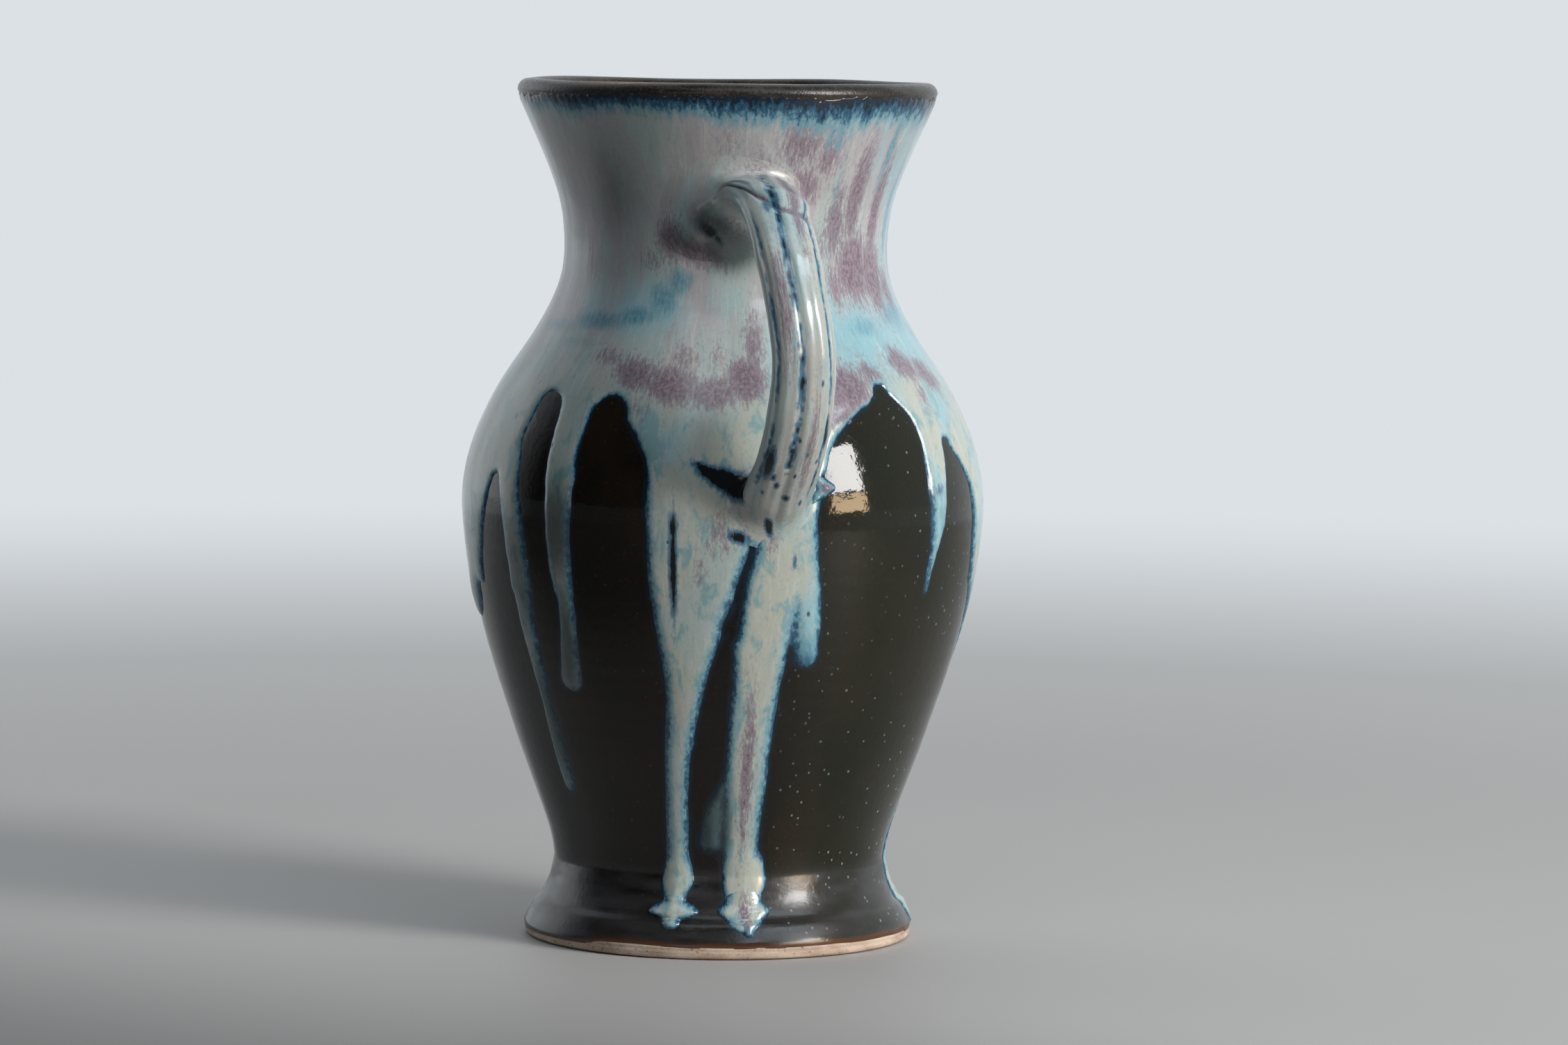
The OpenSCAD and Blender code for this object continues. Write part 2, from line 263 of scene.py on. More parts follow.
# soft spots: (angle, height, size across and size up in mm, strength and, if it is turned, its degrees)
PURPLE = [  # where the glaze is thick
    (-46, 193, 9, 4, 0.7, -8), (-36, 188, 10, 6, 1.0, -14), (-26, 185, 11, 7, 1.1, -12),
    (-15, 183, 10, 6, 1.1, 6), (-7, 187, 8, 8, 1.1, 20), (-4, 198, 5, 13, 0.8),
    (-24, 193, 8, 8, 0.6), (-33, 178, 6, 8, 0.5), (-14, 194, 5, 8, 0.5),
    (10, 262, 11, 12, 0.8), (20, 258, 9, 12, 0.7), (-2, 254, 10, 9, 0.5),
    (14, 248, 8, 9, 0.8), (-12, 262, 8, 10, 0.4),
    (28, 236, 7, 16, 0.9), (36, 244, 6, 22, 1.0), (50, 238, 5, 24, 1.0),
    (38, 222, 12, 14, 1.1), (50, 219, 10, 14, 1.1), (60, 214, 8, 10, 0.9),
    (28, 216, 8, 10, 0.7), (22, 228, 6, 10, 0.6), (62, 232, 4, 16, 0.6),
    (-32, 231, 8, 9, 0.9, -15), (-21, 226, 12, 5, 1.1, -10), (-12, 236, 9, 7, 0.7),
    (-38, 224, 7, 5, 0.6),
    (21, 184, 9, 9, 1.1), (15, 178, 8, 7, 1.0), (29, 188, 8, 6, 0.8),
    (45, 191, 9, 6, 1.0, -20), (56, 187, 9, 6, 1.0, -25), (47, 181, 4, 9, 0.6),
    (-8, 147, 6, 8, 0.6), (-13, 139, 5, 10, 0.6), (-17, 128, 3, 10, 0.5),
    (-2, 140, 3, 14, 0.6), (-5, 60, 3, 34, 0.9),
]
BLUE = [  # cobalt smears
    (-76, 202, 22, 3, 0.7), (-55, 204, 18, 4, 0.8), (-41, 206, 13, 4, 0.8, 5),
    (-33, 212, 8, 8, 0.8), (-28, 217, 8, 6, 0.8), (-60, 197, 16, 3, 0.5),
    (47, 259, 3, 17, 0.8), (64, 244, 5, 24, 0.8), (72, 230, 5, 24, 0.8),
    (36, 272, 6, 8, 0.5), (56, 268, 8, 6, 0.5), (14, 268, 8, 7, 0.4),
    (36, 203, 14, 5, 0.6), (56, 206, 16, 6, 0.7), (70, 200, 12, 5, 0.5),
    (26, 248, 4, 14, 0.5), (-15, 38, 6, 12, 1.0), (8, 98, 5, 7, 1.2),
    (100, 204, 24, 5, 0.6), (146, 208, 20, 8, 0.55, 8), (-176, 204, 26, 6, 0.55, -4),
    (-115, 205, 26, 5, 0.7), (-140, 250, 5, 20, 0.6), (140, 252, 5, 22, 0.6),
]
AQUA = [  # where the pale glaze is a clear light blue instead of grey cream
    (45, 200, 40, 16, 1.0), (60, 250, 16, 36, 0.8), (74, 245, 14, 40, 1.0), (20, 205, 18, 12, 0.8),
    (-40, 208, 40, 12, 0.6), (75, 200, 26, 30, 0.9), (38, 262, 12, 16, 0.6),
    (52, 178, 10, 12, 0.8), (80, 150, 30, 40, 0.6), (-25, 165, 10, 20, 0.4),
    (130, 205, 40, 16, 0.8), (-150, 206, 50, 14, 0.8), (43, 145, 5, 25, 1.0),
    (8, 110, 6, 20, 0.9), (-90, 190, 30, 14, 0.5),
]
FILM_AND_SHADE = [  # where the pale glaze is so thin that the dark one dulls it, and painted shade and shadow round the handle's roots
    (-64, 74, 10, 30, 1.1), (-64, 120, 9, 28, 0.8), (-51, 138, 7, 18, 1.1),
    (-52, 100, 7, 24, 1.2), (-76, 165, 12, 16, 0.3), (-14, 44, 6, 16, 1.6),
    # (-52, 246): a darker patch on the neck's left; (-24, 229): painted shade under the handle's upper root
    (-52, 246, 13, 22, 0.6), (-24, 229, 12, 6, 0.75, -20),
    # (-11, 228) and (-16, 235): painted shade under the upper root; (-15, 170): painted shadow of the strap
    # on the shoulder
    (-11, 228, 13, 8, 1.4), (-16, 235, 10, 6, 1.3, -20), (-15, 170, 9, 14, 0.55),
    (-122, 90, 8, 20, 0.5), (-156, 50, 8, 22, 0.5), (134, 76, 8, 16, 0.5),
]
DARK_MARKS = [  # where the dark glaze shows through the pale one; the hole under the handle's upper root and the pocket beside its lower root are dark glaze with painted shade
    # (-18, 235) and (-15, 231): the hole under the upper root, dark glaze and painted shade in its recess
    (-23, 128, 1, 17, 1.0), (-23, 141, 1, 5, 1.0), (-18, 235, 3.2, 2.2, 1.9, -42),
    (-15, 231, 1.2, 3, 0.75, 35), (8, 98, 3, 3, 0.38),
    (-15, 38, 3, 7, 0.4), (42, 151, 3, 3, 0.34),
    # (-17, 160) to (-9, 154): the pocket left of the lower root, dark glaze with painted shade of the corner
    (-17, 160, 3, 1, 1.0, -30), (-15, 158, 4, 2, 1.2, -30), (-12, 156, 5, 3, 1.4, -30),
    (-9, 154, 4, 4, 1.3), (-3, 142, 1, 4, 1.0, 10), (-9, 138, 3, 2, 0.9, -30),
    (10, 156, 2, 3, 0.9, 30), (5, 151, 3, 1.4, 1.3, 25), (7, 160, 2, 2.5, 1.3, 30), (3, 130, 0.5, 3, 0.8),
]


# ---- mesh making

def new_object(name, data):
    ob = bpy.data.objects.new(name, data)
    bpy.context.scene.collection.objects.link(ob)
    return ob


def add_mesh(name, verts, faces, normals=None, attributes=None):
    me = bpy.data.meshes.new(name)
    me.from_pydata([tuple(v) for v in np.asarray(verts) * MM], [], [tuple(int(i) for i in f) for f in faces])
    me.update()
    me.polygons.foreach_set("use_smooth", np.ones(len(me.polygons), bool))
    if normals is not None:
        me.normals_split_custom_set_from_vertices([tuple(n) for n in normals])
    for key, values in (attributes or {}).items():
        values = np.asarray(values, np.float32)
        if values.ndim == 2:
            me.attributes.new(key, "FLOAT_VECTOR", "POINT").data.foreach_set("vector", values.ravel())
        else:
            me.attributes.new(key, "FLOAT", "POINT").data.foreach_set("value", values)
    ob = new_object(name, me)
    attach(ob, "root")
    return ob


def dress(ob, look, node):
    """Gives a piece its material and hides the CAD node that it stands for."""
    ob.data.materials.append(look)
    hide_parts(node)


def polar(theta, r, z):
    """Points at an angle, a distance from the axis and a height."""
    t = np.radians(theta)
    return np.stack(np.broadcast_arrays(r * np.sin(t), -r * np.cos(t), z), -1)


def grid_normals(p, wrap=True):
    """Normals of a grid of points [height, angle], pointing out."""
    du = np.roll(p, -1, 1) - np.roll(p, 1, 1) if wrap else np.gradient(p, axis=1)
    n = np.cross(du, np.gradient(p, axis=0))
    return n / np.maximum(np.linalg.norm(n, axis=-1, keepdims=True), 1e-9)


def grid_faces(rows, cols, wrap=True, keep=None):
    i, j = np.meshgrid(np.arange(rows - 1), np.arange(cols if wrap else cols - 1), indexing="ij")
    j2 = (j + 1) % cols
    quads = np.stack([i * cols + j, i * cols + j2, (i + 1) * cols + j2, (i + 1) * cols + j], -1)
    if keep is not None:
        ok = keep[i, j] | keep[i, j2] | keep[i + 1, j] | keep[i + 1, j2]
        quads = quads[ok]
    return quads.reshape(-1, 4)


def drop_unused(verts, faces, *arrays):
    used = np.unique(faces)
    new = np.full(len(verts), -1)
    new[used] = np.arange(len(used))
    return (verts[used], new[faces]) + tuple(a[used] for a in arrays)


def wall_flow(theta, z):
    """Where the streaks' noise is read on the vessel: on a cylinder."""
    return polar(theta, FLOW_R, z)


def glaze_fields(theta, z, flow=None, **levels):
    """The values that the pale glaze's material reads, one for each point of a grid."""
    out = {"flow": wall_flow(theta, z) if flow is None else flow}
    for key in ("edge", "purple", "blue", "mark", "aqua", "cream", "film", "nicks"):
        out[key] = np.broadcast_to(levels.get(key, 0.0), np.shape(theta)).astype(float)
    return out


def coat_mesh(name, points, faces, normals, fields):
    """A mesh on a grid of points, with only the points that its faces use."""
    flat = [v.reshape(-1, 3) if v.ndim == 3 else v.ravel() for v in fields.values()]
    v, f, nrm, *kept = drop_unused(points.reshape(-1, 3), faces, normals.reshape(-1, 3), *flat)
    return add_mesh(name, v, f, normals=nrm, attributes=dict(zip(fields, kept)))


def lathe(name, rows, cols, shape, close=False):
    """A turned mesh from [radius, height] rows, closed or not; shape(theta, r, z) moves its points."""
    rows = np.array(rows, float)
    theta = np.arange(cols) * 360 / cols - 180
    r, z, th = np.broadcast_arrays(rows[:, :1], rows[:, 1:2], theta[None, :])
    r, z = shape(th, r, z)
    f = grid_faces(len(rows), cols)
    if close:
        last = (len(rows) - 1) * cols
        j = np.arange(cols)
        f = np.vstack([f, np.stack([last + j, last + (j + 1) % cols, (j + 1) % cols, j], -1)])
    flow = wall_flow(th, z).reshape(-1, 3)
    return add_mesh(name, polar(th, r, z).reshape(-1, 3), f, attributes={"flow": flow})


# ---- materials

def material(name, **settings):
    """A new material, short calls for its nodes, and its shader."""
    m = bpy.data.materials.new(name)
    m.use_nodes = True
    bsdf = m.node_tree.nodes["Principled BSDF"]
    for key, value in settings.items():
        bsdf.inputs[key.replace("_", " ")].default_value = value
    return m, Nodes(m.node_tree), bsdf


class Nodes:
    """Short calls for the nodes that the materials use."""

    def __init__(self, tree):
        self.tree = tree

    def add(self, kind, **props):
        n = self.tree.nodes.new(kind)
        for k, v in props.items():
            setattr(n, k, v)
        return n

    def put(self, socket, value):
        if hasattr(value, "is_output"):
            self.tree.links.new(value, socket)
        else:
            socket.default_value = value

    def attribute(self, name, vector=False):
        n = self.add("ShaderNodeAttribute", attribute_name=name)
        return n.outputs["Vector" if vector else "Fac"]

    def place(self):
        return self.add("ShaderNodeTexCoord").outputs["Object"]

    def math(self, op, a, b=0.0, clamp=False):
        n = self.add("ShaderNodeMath", operation=op, use_clamp=clamp)
        self.put(n.inputs[0], a)
        self.put(n.inputs[1], b)
        return n.outputs[0]

    def vector_math(self, op, a, b=(0, 0, 0), output="Value"):
        n = self.add("ShaderNodeVectorMath", operation=op)
        self.put(n.inputs[0], a)
        self.put(n.inputs[1], b)
        return n.outputs[output]

    def plus(self, a, b):
        return self.math("ADD", a, b)

    def minus(self, a, b):
        return self.math("SUBTRACT", a, b)

    def times(self, a, b):
        return self.math("MULTIPLY", a, b)

    def scaled(self, vector, across, up, offset=(0, 0, 0)):
        n = self.add("ShaderNodeMapping")
        self.put(n.inputs["Vector"], vector)
        n.inputs["Scale"].default_value = (across, across, up)
        n.inputs["Location"].default_value = offset
        return n.outputs[0]

    def noise(self, vector, across, up, detail=3.0, rough=0.5, distortion=0.0, offset=(0, 0, 0)):
        """Noise whose grains are the finer, the larger the numbers for across and up."""
        n = self.add("ShaderNodeTexNoise")
        self.put(n.inputs["Vector"], self.scaled(vector, across, up, offset))
        n.inputs["Scale"].default_value = 1.0
        n.inputs["Detail"].default_value = detail
        n.inputs["Roughness"].default_value = rough
        n.inputs["Distortion"].default_value = distortion
        return n.outputs["Fac"]

    def dots(self, vector, scale, outer, inner, share, key):
        """Dots in the cells of a Voronoi pattern, but for a share of them; the key says which have one."""
        n = self.add("ShaderNodeTexVoronoi")
        self.put(n.inputs["Vector"], vector)
        n.inputs["Scale"].default_value = scale
        chosen = self.math("GREATER_THAN", self.math("FRACT", self.times(n.outputs["Color"], key)), share)
        return self.times(self.span(n.outputs["Distance"], outer, inner), chosen)

    def ramp(self, value, stops):
        n = self.add("ShaderNodeValToRGB")
        self.put(n.inputs[0], value)
        r = n.color_ramp
        while len(r.elements) > 1:
            r.elements.remove(r.elements[-1])
        r.elements[0].position = stops[0][0]
        r.elements[0].color = self.rgba(stops[0][1])
        for pos, c in stops[1:]:
            r.elements.new(pos).color = self.rgba(c)
        return n.outputs[0]

    @staticmethod
    def rgba(c):
        return (c, c, c, 1) if isinstance(c, (int, float)) else (*c, 1)

    def mix(self, fac, a, b):
        n = self.add("ShaderNodeMix", data_type="RGBA")
        self.put(n.inputs[0], fac)
        for socket, v in ((n.inputs[6], a), (n.inputs[7], b)):
            self.put(socket, self.rgba(v) if isinstance(v, (tuple, float, int)) else v)
        return n.outputs[2]

    def lay(self, base, colour, value, low, high, most=1.0):
        """A base, with a colour that covers it more and more as a value goes from low to high."""
        cover = self.span(value, low, high)
        return self.mix(cover if most == 1 else self.times(cover, most), base, colour)

    def span(self, value, low, high, to_low=0.0, to_high=1.0):
        n = self.add("ShaderNodeMapRange", interpolation_type="SMOOTHSTEP")
        self.put(n.inputs[0], value)
        for i, v in enumerate((low, high, to_low, to_high)):
            self.put(n.inputs[i + 1], v)
        return n.outputs[0]

    def surface(self, bsdf, colour, roughness, relief, strength, depth):
        """Gives a shader its colour, its roughness and a relief as deep as depth, in metres."""
        n = self.add("ShaderNodeBump")
        n.inputs["Strength"].default_value = strength
        n.inputs["Distance"].default_value = depth
        self.put(n.inputs["Height"], relief)
        for socket, value in (("Base Color", colour), ("Roughness", roughness), ("Normal", n.outputs[0])):
            self.put(bsdf.inputs[socket], value)


def dark_material():
    """Brown-black iron glaze, greener where thin, with fine pale specks and brown mottling."""
    m, n, bsdf = material("dark_glaze", Roughness=0.09, IOR=1.5, Specular_IOR_Level=0.37)
    flow, where, matt_and_sheen = n.attribute("flow", True), n.place(), n.attribute("matt_and_sheen")
    cloud = n.noise(flow, 0.045, 0.02, 3, 0.55)
    brown = n.ramp(cloud, [(0.30, (0.0022, 0.0016, 0.0010)), (0.52, (0.0050, 0.0036, 0.0019)),
                           (0.75, (0.0150, 0.0082, 0.0032))])
    olive = n.ramp(cloud, [(0.30, (0.0065, 0.0078, 0.0036)), (0.55, (0.0100, 0.0105, 0.0046)),
                           (0.75, (0.0160, 0.0115, 0.0050))])
    tone = n.mix(n.attribute("olive"), brown, olive)
    grain = n.noise(where, 1100, 1100, 2, 0.6)
    tone = n.lay(tone, (0.024, 0.019, 0.009), grain, 0.52, 0.75, 0.45)
    spot = 0.0
    for size in ((430, 0.22, 0.10, 0.70), (210, 0.13, 0.07, 0.76), (95, 0.085, 0.05, 0.80)):
        spot = n.math("MAXIMUM", spot, n.dots(n.scaled(where, 1, 0.9), *size, 7.31))
    patchy = n.span(n.noise(where, 38, 30, 2), 0.40, 0.62, 0.25, 1.0)
    spot = n.times(n.times(spot, patchy), n.attribute("specks"))
    tone = n.mix(spot, tone, (0.17, 0.21, 0.23))
    # a breath of blue on the dark glaze next to the pale one
    halo = n.plus(n.attribute("edge"), n.times(n.noise(flow, 0.6, 0.4, 3), 1.4))
    tone = n.lay(tone, (0.006, 0.020, 0.034), halo, -0.9, 0.8, 0.8)
    # greyer where the foot's glaze is matt: partly its own colour, partly a painted sheen
    tone = n.mix(n.math("MULTIPLY", matt_and_sheen, 0.5, clamp=True), tone, (0.050, 0.050, 0.055))
    # brown line where the glaze thins on to bare clay
    tone = n.mix(n.attribute("thin"), tone, (0.085, 0.036, 0.014))
    gloss = n.span(n.noise(where, 60, 60), 0.3, 0.8, 0.06, 0.13)
    peel = n.plus(n.noise(where, 420, 420, 2, 0.5), n.times(spot, 0.6))
    n.surface(bsdf, tone, n.plus(gloss, n.times(matt_and_sheen, 0.25)), peel, 0.10, 0.0006)
    return m


def pale_material():
    """Opalescent pale glaze: grey cream to light blue, streaked along its flow, purple where it is thick,
    cobalt where it thins towards an edge."""
    m, n, bsdf = material("pale_glaze", Roughness=0.14, IOR=1.5)
    flow, where = n.attribute("flow", True), n.place()
    streak = n.noise(flow, 0.75, 0.11, 5, 0.62, 0.5)
    wide = n.noise(flow, 0.07, 0.035, 4, 0.55, 0.4, (3.1, 1.7, 0.4))
    mottle = n.noise(where, 950, 620, 3, 0.7)
    centred = n.minus(streak, 0.5)
    # lavender grey on the neck, cream below, light blue where it ran and pooled
    lavender, cream = (0.375, 0.365, 0.385), (0.400, 0.425, 0.375)
    white, sky = (0.36, 0.43, 0.42), (0.235, 0.435, 0.505)
    base = n.lay(lavender, white, wide, 0.40, 0.62)
    base = n.mix(n.attribute("cream"), base, n.lay(cream, white, wide, 0.42, 0.60))
    clear = n.plus(n.attribute("aqua"), n.times(n.plus(centred, n.minus(wide, 0.5)), 1.2))
    base = n.lay(base, sky, clear, 0.15, 0.95)
    base = n.lay(base, (0.50, 0.53, 0.51), streak, 0.50, 0.72, 0.60)
    base = n.lay(base, (0.22, 0.30, 0.33), streak, 0.46, 0.28, 0.40)
    base = n.lay(base, (0.23, 0.29, 0.31), mottle, 0.50, 0.72, 0.35)
    pool = n.noise(flow, 0.24, 0.10, 4, 0.6, 0.6, (1.3, 4.1, 0))
    base = n.lay(base, (0.20, 0.34, 0.36), pool, 0.50, 0.66, n.attribute("cream"))
    # purple bloom, broken into short vertical flecks
    fleck = n.noise(flow, 1.25, 0.30, 4, 0.68, 0.3, (7.7, 0, 2.2))
    grain = n.plus(n.minus(fleck, 0.5), n.times(n.minus(mottle, 0.5), 0.7))
    bloom = n.plus(n.attribute("purple"), n.times(grain, 1.5))
    hue = n.lay((0.105, 0.066, 0.094), (0.25, 0.19, 0.24), mottle, 0.35, 0.65)
    base = n.lay(base, hue, bloom, 0.28, 0.84, 0.88)
    # cobalt smears
    smear = n.plus(n.attribute("blue"), n.times(n.plus(centred, grain), 0.7))
    cobalt = n.lay((0.055, 0.190, 0.270), (0.14, 0.32, 0.40), mottle, 0.4, 0.65)
    base = n.lay(base, cobalt, smear, 0.25, 0.85, 0.85)
    # towards its edge the glaze thins over the dark one: light blue, cobalt, then dark
    fringe = n.noise(flow, 0.9, 0.45, 4, 0.65, offset=(0, 5, 0))
    rough_edge = n.plus(n.times(n.minus(fringe, 0.5), 4.5), n.times(n.minus(mottle, 0.5), 1.6))
    thick = n.plus(n.attribute("edge"), rough_edge)
    base = n.lay(base, (0.130, 0.300, 0.370), thick, 3.8, 1.4, 0.9)
    base = n.lay(base, (0.020, 0.085, 0.155), thick, 1.9, 0.5)
    base = n.lay(base, (0.004, 0.014, 0.030), thick, 0.6, -0.5)
    # blue halos, a thin film over the dark glaze that also paints shade and the strap's shadow near the
    # handle, then the dark marks within the halos, some of them painted shade
    mark = n.plus(n.attribute("mark"), n.times(grain, 0.5))
    base = n.lay(base, (0.030, 0.115, 0.205), mark, 0.10, 0.42, 0.85)
    film = n.plus(n.attribute("film"), n.times(centred, 0.6))
    base = n.lay(base, (0.030, 0.044, 0.045), film, 0.0, 1.1, 0.85)
    base = n.lay(base, (0.004, 0.006, 0.008), mark, 0.42, 0.70)
    # pinholes and short dark nicks along the flow
    nick = n.dots(n.scaled(flow, 0.17, 0.085), 1.0, 0.095, 0.05, 0.66, 9.13)
    nick = n.times(nick, n.attribute("nicks"))
    base = n.mix(n.times(nick, 0.85), base, (0.02, 0.03, 0.03))
    gloss = n.span(n.noise(where, 45, 45, 2), 0.3, 0.8, 0.09, 0.22)
    relief = n.minus(n.plus(n.times(streak, 0.5), n.times(mottle, 0.12)), n.times(nick, 0.9))
    n.surface(bsdf, base, gloss, relief, 0.28, 0.0005)
    return m


def clay_material(name, light, dark):
    """Matt fired stoneware, clouded, with brown grains of grog."""
    m, n, bsdf = material(name, Roughness=0.85)
    where = n.place()
    cloud = n.noise(where, 70, 160, 4, 0.6)
    base = n.lay(dark, light, cloud, 0.3, 0.7)
    grog = n.dots(where, 700, 0.4, 0.15, 0.7, 6.7)
    base = n.mix(n.times(grog, 0.6), base, (0.09, 0.05, 0.03))
    grain = n.plus(n.noise(where, 1500, 1500, 3, 0.7), n.times(cloud, 0.8))
    n.surface(bsdf, base, n.span(cloud, 0.2, 0.8, 0.75, 0.95), grain, 0.5, 0.0005)
    return m


def rim_material():
    """Dark metallic brown, thinned over the lip, with paler grains."""
    m, n, bsdf = material("rim_glaze", Roughness=0.3, IOR=1.5, Specular_IOR_Level=0.36)
    cloud = n.noise(n.attribute("flow", True), 0.10, 0.35, 4, 0.65)
    fine = n.noise(n.place(), 1300, 1300, 2, 0.7)
    base = n.lay((0.011, 0.010, 0.009), (0.036, 0.031, 0.027), cloud, 0.35, 0.65)
    base = n.lay(base, (0.065, 0.06, 0.055), fine, 0.55, 0.72, 0.6)
    n.surface(bsdf, base, n.span(fine, 0.3, 0.75, 0.16, 0.36), n.plus(fine, cloud), 0.35, 0.0004)
    return m


def liner_material():
    """Dark glossy glaze inside, which turns blue near the lip."""
    m, n, bsdf = material("liner_glaze", Roughness=0.12, IOR=1.5)
    cloud = n.noise(n.attribute("flow", True), 0.08, 0.03, 4, 0.6)
    base = n.ramp(cloud, [(0.3, (0.012, 0.010, 0.007)), (0.6, (0.030, 0.024, 0.015)),
                          (0.8, (0.055, 0.060, 0.050))])
    blue = n.plus(n.attribute("blue"), n.times(n.minus(cloud, 0.5), 1.4))
    base = n.lay(base, (0.16, 0.30, 0.33), blue, 0.3, 0.8)
    peel = n.noise(n.place(), 300, 300)
    n.surface(bsdf, base, n.span(cloud, 0.3, 0.7, 0.09, 0.2), peel, 0.15, 0.0006)
    return m


# ---- clay

def inner_r(z):
    return np.interp(z, liner_z, liner_in)


def outer_rows(heights, inset):
    """[radius, height] rows under the dark glaze."""
    return [[skin_r(z) - GLAZE_T - inset, z] for z in heights]


def inner_rows(heights, outset=0.0):
    """[radius, height] rows on the liner glaze, or behind it."""
    return [[inner_r(z) + outset, z] for z in heights]


def lip_rows(rounding, degrees):
    """[radius, height] rows round the lip."""
    middle = lip_out - LIP_R
    return [[middle + rounding * math.cos(a), lip_z + rounding * math.sin(a)] for a in np.radians(degrees)]


def follow_wall(th, r, z):
    """Most of the wall's unevenness, for belly, neck and liner."""
    return r + 0.8 * wobble(th, z), z


GLAZE_T = 0.5    # the dark glaze's thickness in the CAD
AXIS_R = 0.02    # a turned surface ends so near the axis
LIP_R = 3        # radius of the clay's rolled lip
foot_clay = clay_material("foot_clay", (0.60, 0.50, 0.41), (0.36, 0.26, 0.19))
body_clay = clay_material("body_clay", (0.34, 0.27, 0.21), (0.22, 0.165, 0.12))

foot_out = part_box("foot_ring")[1].x / MM
foot_in = outline("foot_ring")[2]
ring_in, ring_in_top = float(foot_in[0]), float(foot_in[-1])


def foot_shape(th, r, z):
    """The bare edge: a little uneven, with a worn outer corner and the drag lines of the turning tool."""
    outer = step(r, ring_in + 2, foot_out - 3)
    uneven = 0.35 * around(th, z, 34, 9, 3, 3) * step(z, 0.2, 2.5)
    drag = 0.12 * np.sin(z * 4.2 + 0.02 * th) * step(z, 0.5, 2.0)
    return r + outer * (uneven + drag), z


foot_rows = [[ring_in + 0.8, 0.9], [ring_in + 1.5, 0.25], [ring_in + 3, 0.0], [ring_in + 6, 0.0],
             [foot_out - 2.2, 0.0], [foot_out - 1.2, 0.12], [foot_out - 0.6, 0.45], [foot_out - 0.25, 0.9]]
foot_rows += [[skin_r(max(z, BARE_Z)) - GLAZE_T - 0.15 * (z < 2), z]
              for z in np.arange(1.3, 7.6, 0.35)]
foot_rows += outer_rows((9, 11, 13, 16, 19, 22, WAIST_Z - 0.05), 0.2)
foot_rows += [[ring_in_top + 4, WAIST_Z - 0.05], [ring_in_top, WAIST_Z - 0.05],
              [(ring_in + ring_in_top) / 2, WAIST_Z / 2], [ring_in + 0.15, 3.0], [ring_in + 0.35, 1.6]]
foot = lathe("foot_ring_clay", foot_rows, 320, foot_shape, close=True)
dress(foot, foot_clay, "foot_ring")

# from the middle of the underside, up the outside and down the inside to the middle of the floor
belly_rows = [[r, WAIST_Z + up]
              for r, up in ((AXIS_R, 0), (6, 0.35), (12, 0.1), (20, 0.3), (28, 0.05), (36, 0.2))]
belly_rows += [[skin_r(WAIST_Z + 0.1) - GLAZE_T - 0.2, WAIST_Z + 0.02]]
belly_rows += outer_rows(np.linspace(WAIST_Z + 1, JOINT_Z, 60), 0.1)
belly_rows += inner_rows(np.linspace(JOINT_Z, FLOOR_Z + 16, 34), 0.5)
belly_rows += inner_rows((FLOOR_Z + 11, FLOOR_Z + 6, FLOOR_Z + 2), 0.4) + [[30, FLOOR_Z], [AXIS_R, FLOOR_Z]]
belly = lathe("belly_clay", belly_rows, 160, follow_wall, close=True)
dress(belly, body_clay, "belly")

lip_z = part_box("neck")[1].z / MM - LIP_R
lip_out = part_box("neck")[1].x / MM
neck_rows = outer_rows(np.linspace(JOINT_Z, BAND_Z, 30), 0.1) + lip_rows(LIP_R - 0.1, range(0, 181, 15))
neck_rows += inner_rows(np.linspace(BAND_Z, JOINT_Z, 24), 0.5)
neck = lathe("neck_clay", neck_rows, 160, follow_wall, close=True)
dress(neck, body_clay, "neck")


# ---- the handle

STRAP_W, STRAP_T = 18, 8
REACH = -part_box("handle")[0].y / MM - STRAP_T / 2   # how far the strap's middle stands from the axis
# [x, distance from the axis, z, width, thickness], as the CAD's path runs
HANDLE = np.array([
    [-5.5, 45, 237, STRAP_W + 22, STRAP_T + 17],
    [-5, 53.4, 240.3, STRAP_W + 13.4, STRAP_T + 8.5],
    [-4.5, 60.5, 243.5, STRAP_W + 7, STRAP_T + 3],
    [-5, 71, 246.5, STRAP_W + 3, STRAP_T + 1],
    [-5, 87, 243.5, STRAP_W + 1, STRAP_T + 0.5],
    [-4.5, REACH - 13, 233, STRAP_W, STRAP_T],
    [-2.5, REACH - 4, 216, STRAP_W - 0.5, STRAP_T],
    [-0.5, REACH, 197, STRAP_W, STRAP_T],
    [-0.5, REACH - 3.5, 179, STRAP_W + 0.5, STRAP_T],
    [-1.5, REACH - 11.5, 165, STRAP_W + 1, STRAP_T + 0.4],
    [-2, REACH - 22, 155.5, STRAP_W + 2, STRAP_T + 2],
    [-1.8, 86, 150, STRAP_W + 2, STRAP_T + 5],
    [-1.5, 76, 145, STRAP_W + 3, STRAP_T + 10],
])
PATH_END = len(HANDLE) - 1
STRAP = (2, 10)  # the strap runs between these points of the path; luting clay joins it to the wall
UPPER_END = 6    # points of the path before this one belong to the handle's upper end
# lines pulled along the strap, where the glaze broke thin: angle round it (0 right, 90 outwards, 180 left),
# half width, begin, end and strength
LINES = [(98, 8, 2.3, 9.4, 1.0), (150, 7, 4.2, 9.9, 0.9), (37, 5, 3.6, 10.4, 0.9)]


def path_at(u):
    """The path's values at u, counted in points of the path, by Catmull-Rom."""
    p = HANDLE
    i = int(min(max(math.floor(u), 0), PATH_END - 1))
    t = u - i
    a, b, c, d = p[max(i - 1, 0)], p[i], p[i + 1], p[min(i + 2, PATH_END)]
    return 0.5 * (2 * b + (c - a) * t + (2 * a - 5 * b + 4 * c - d) * t**2 + (3 * b - a - 3 * c + d) * t**3)


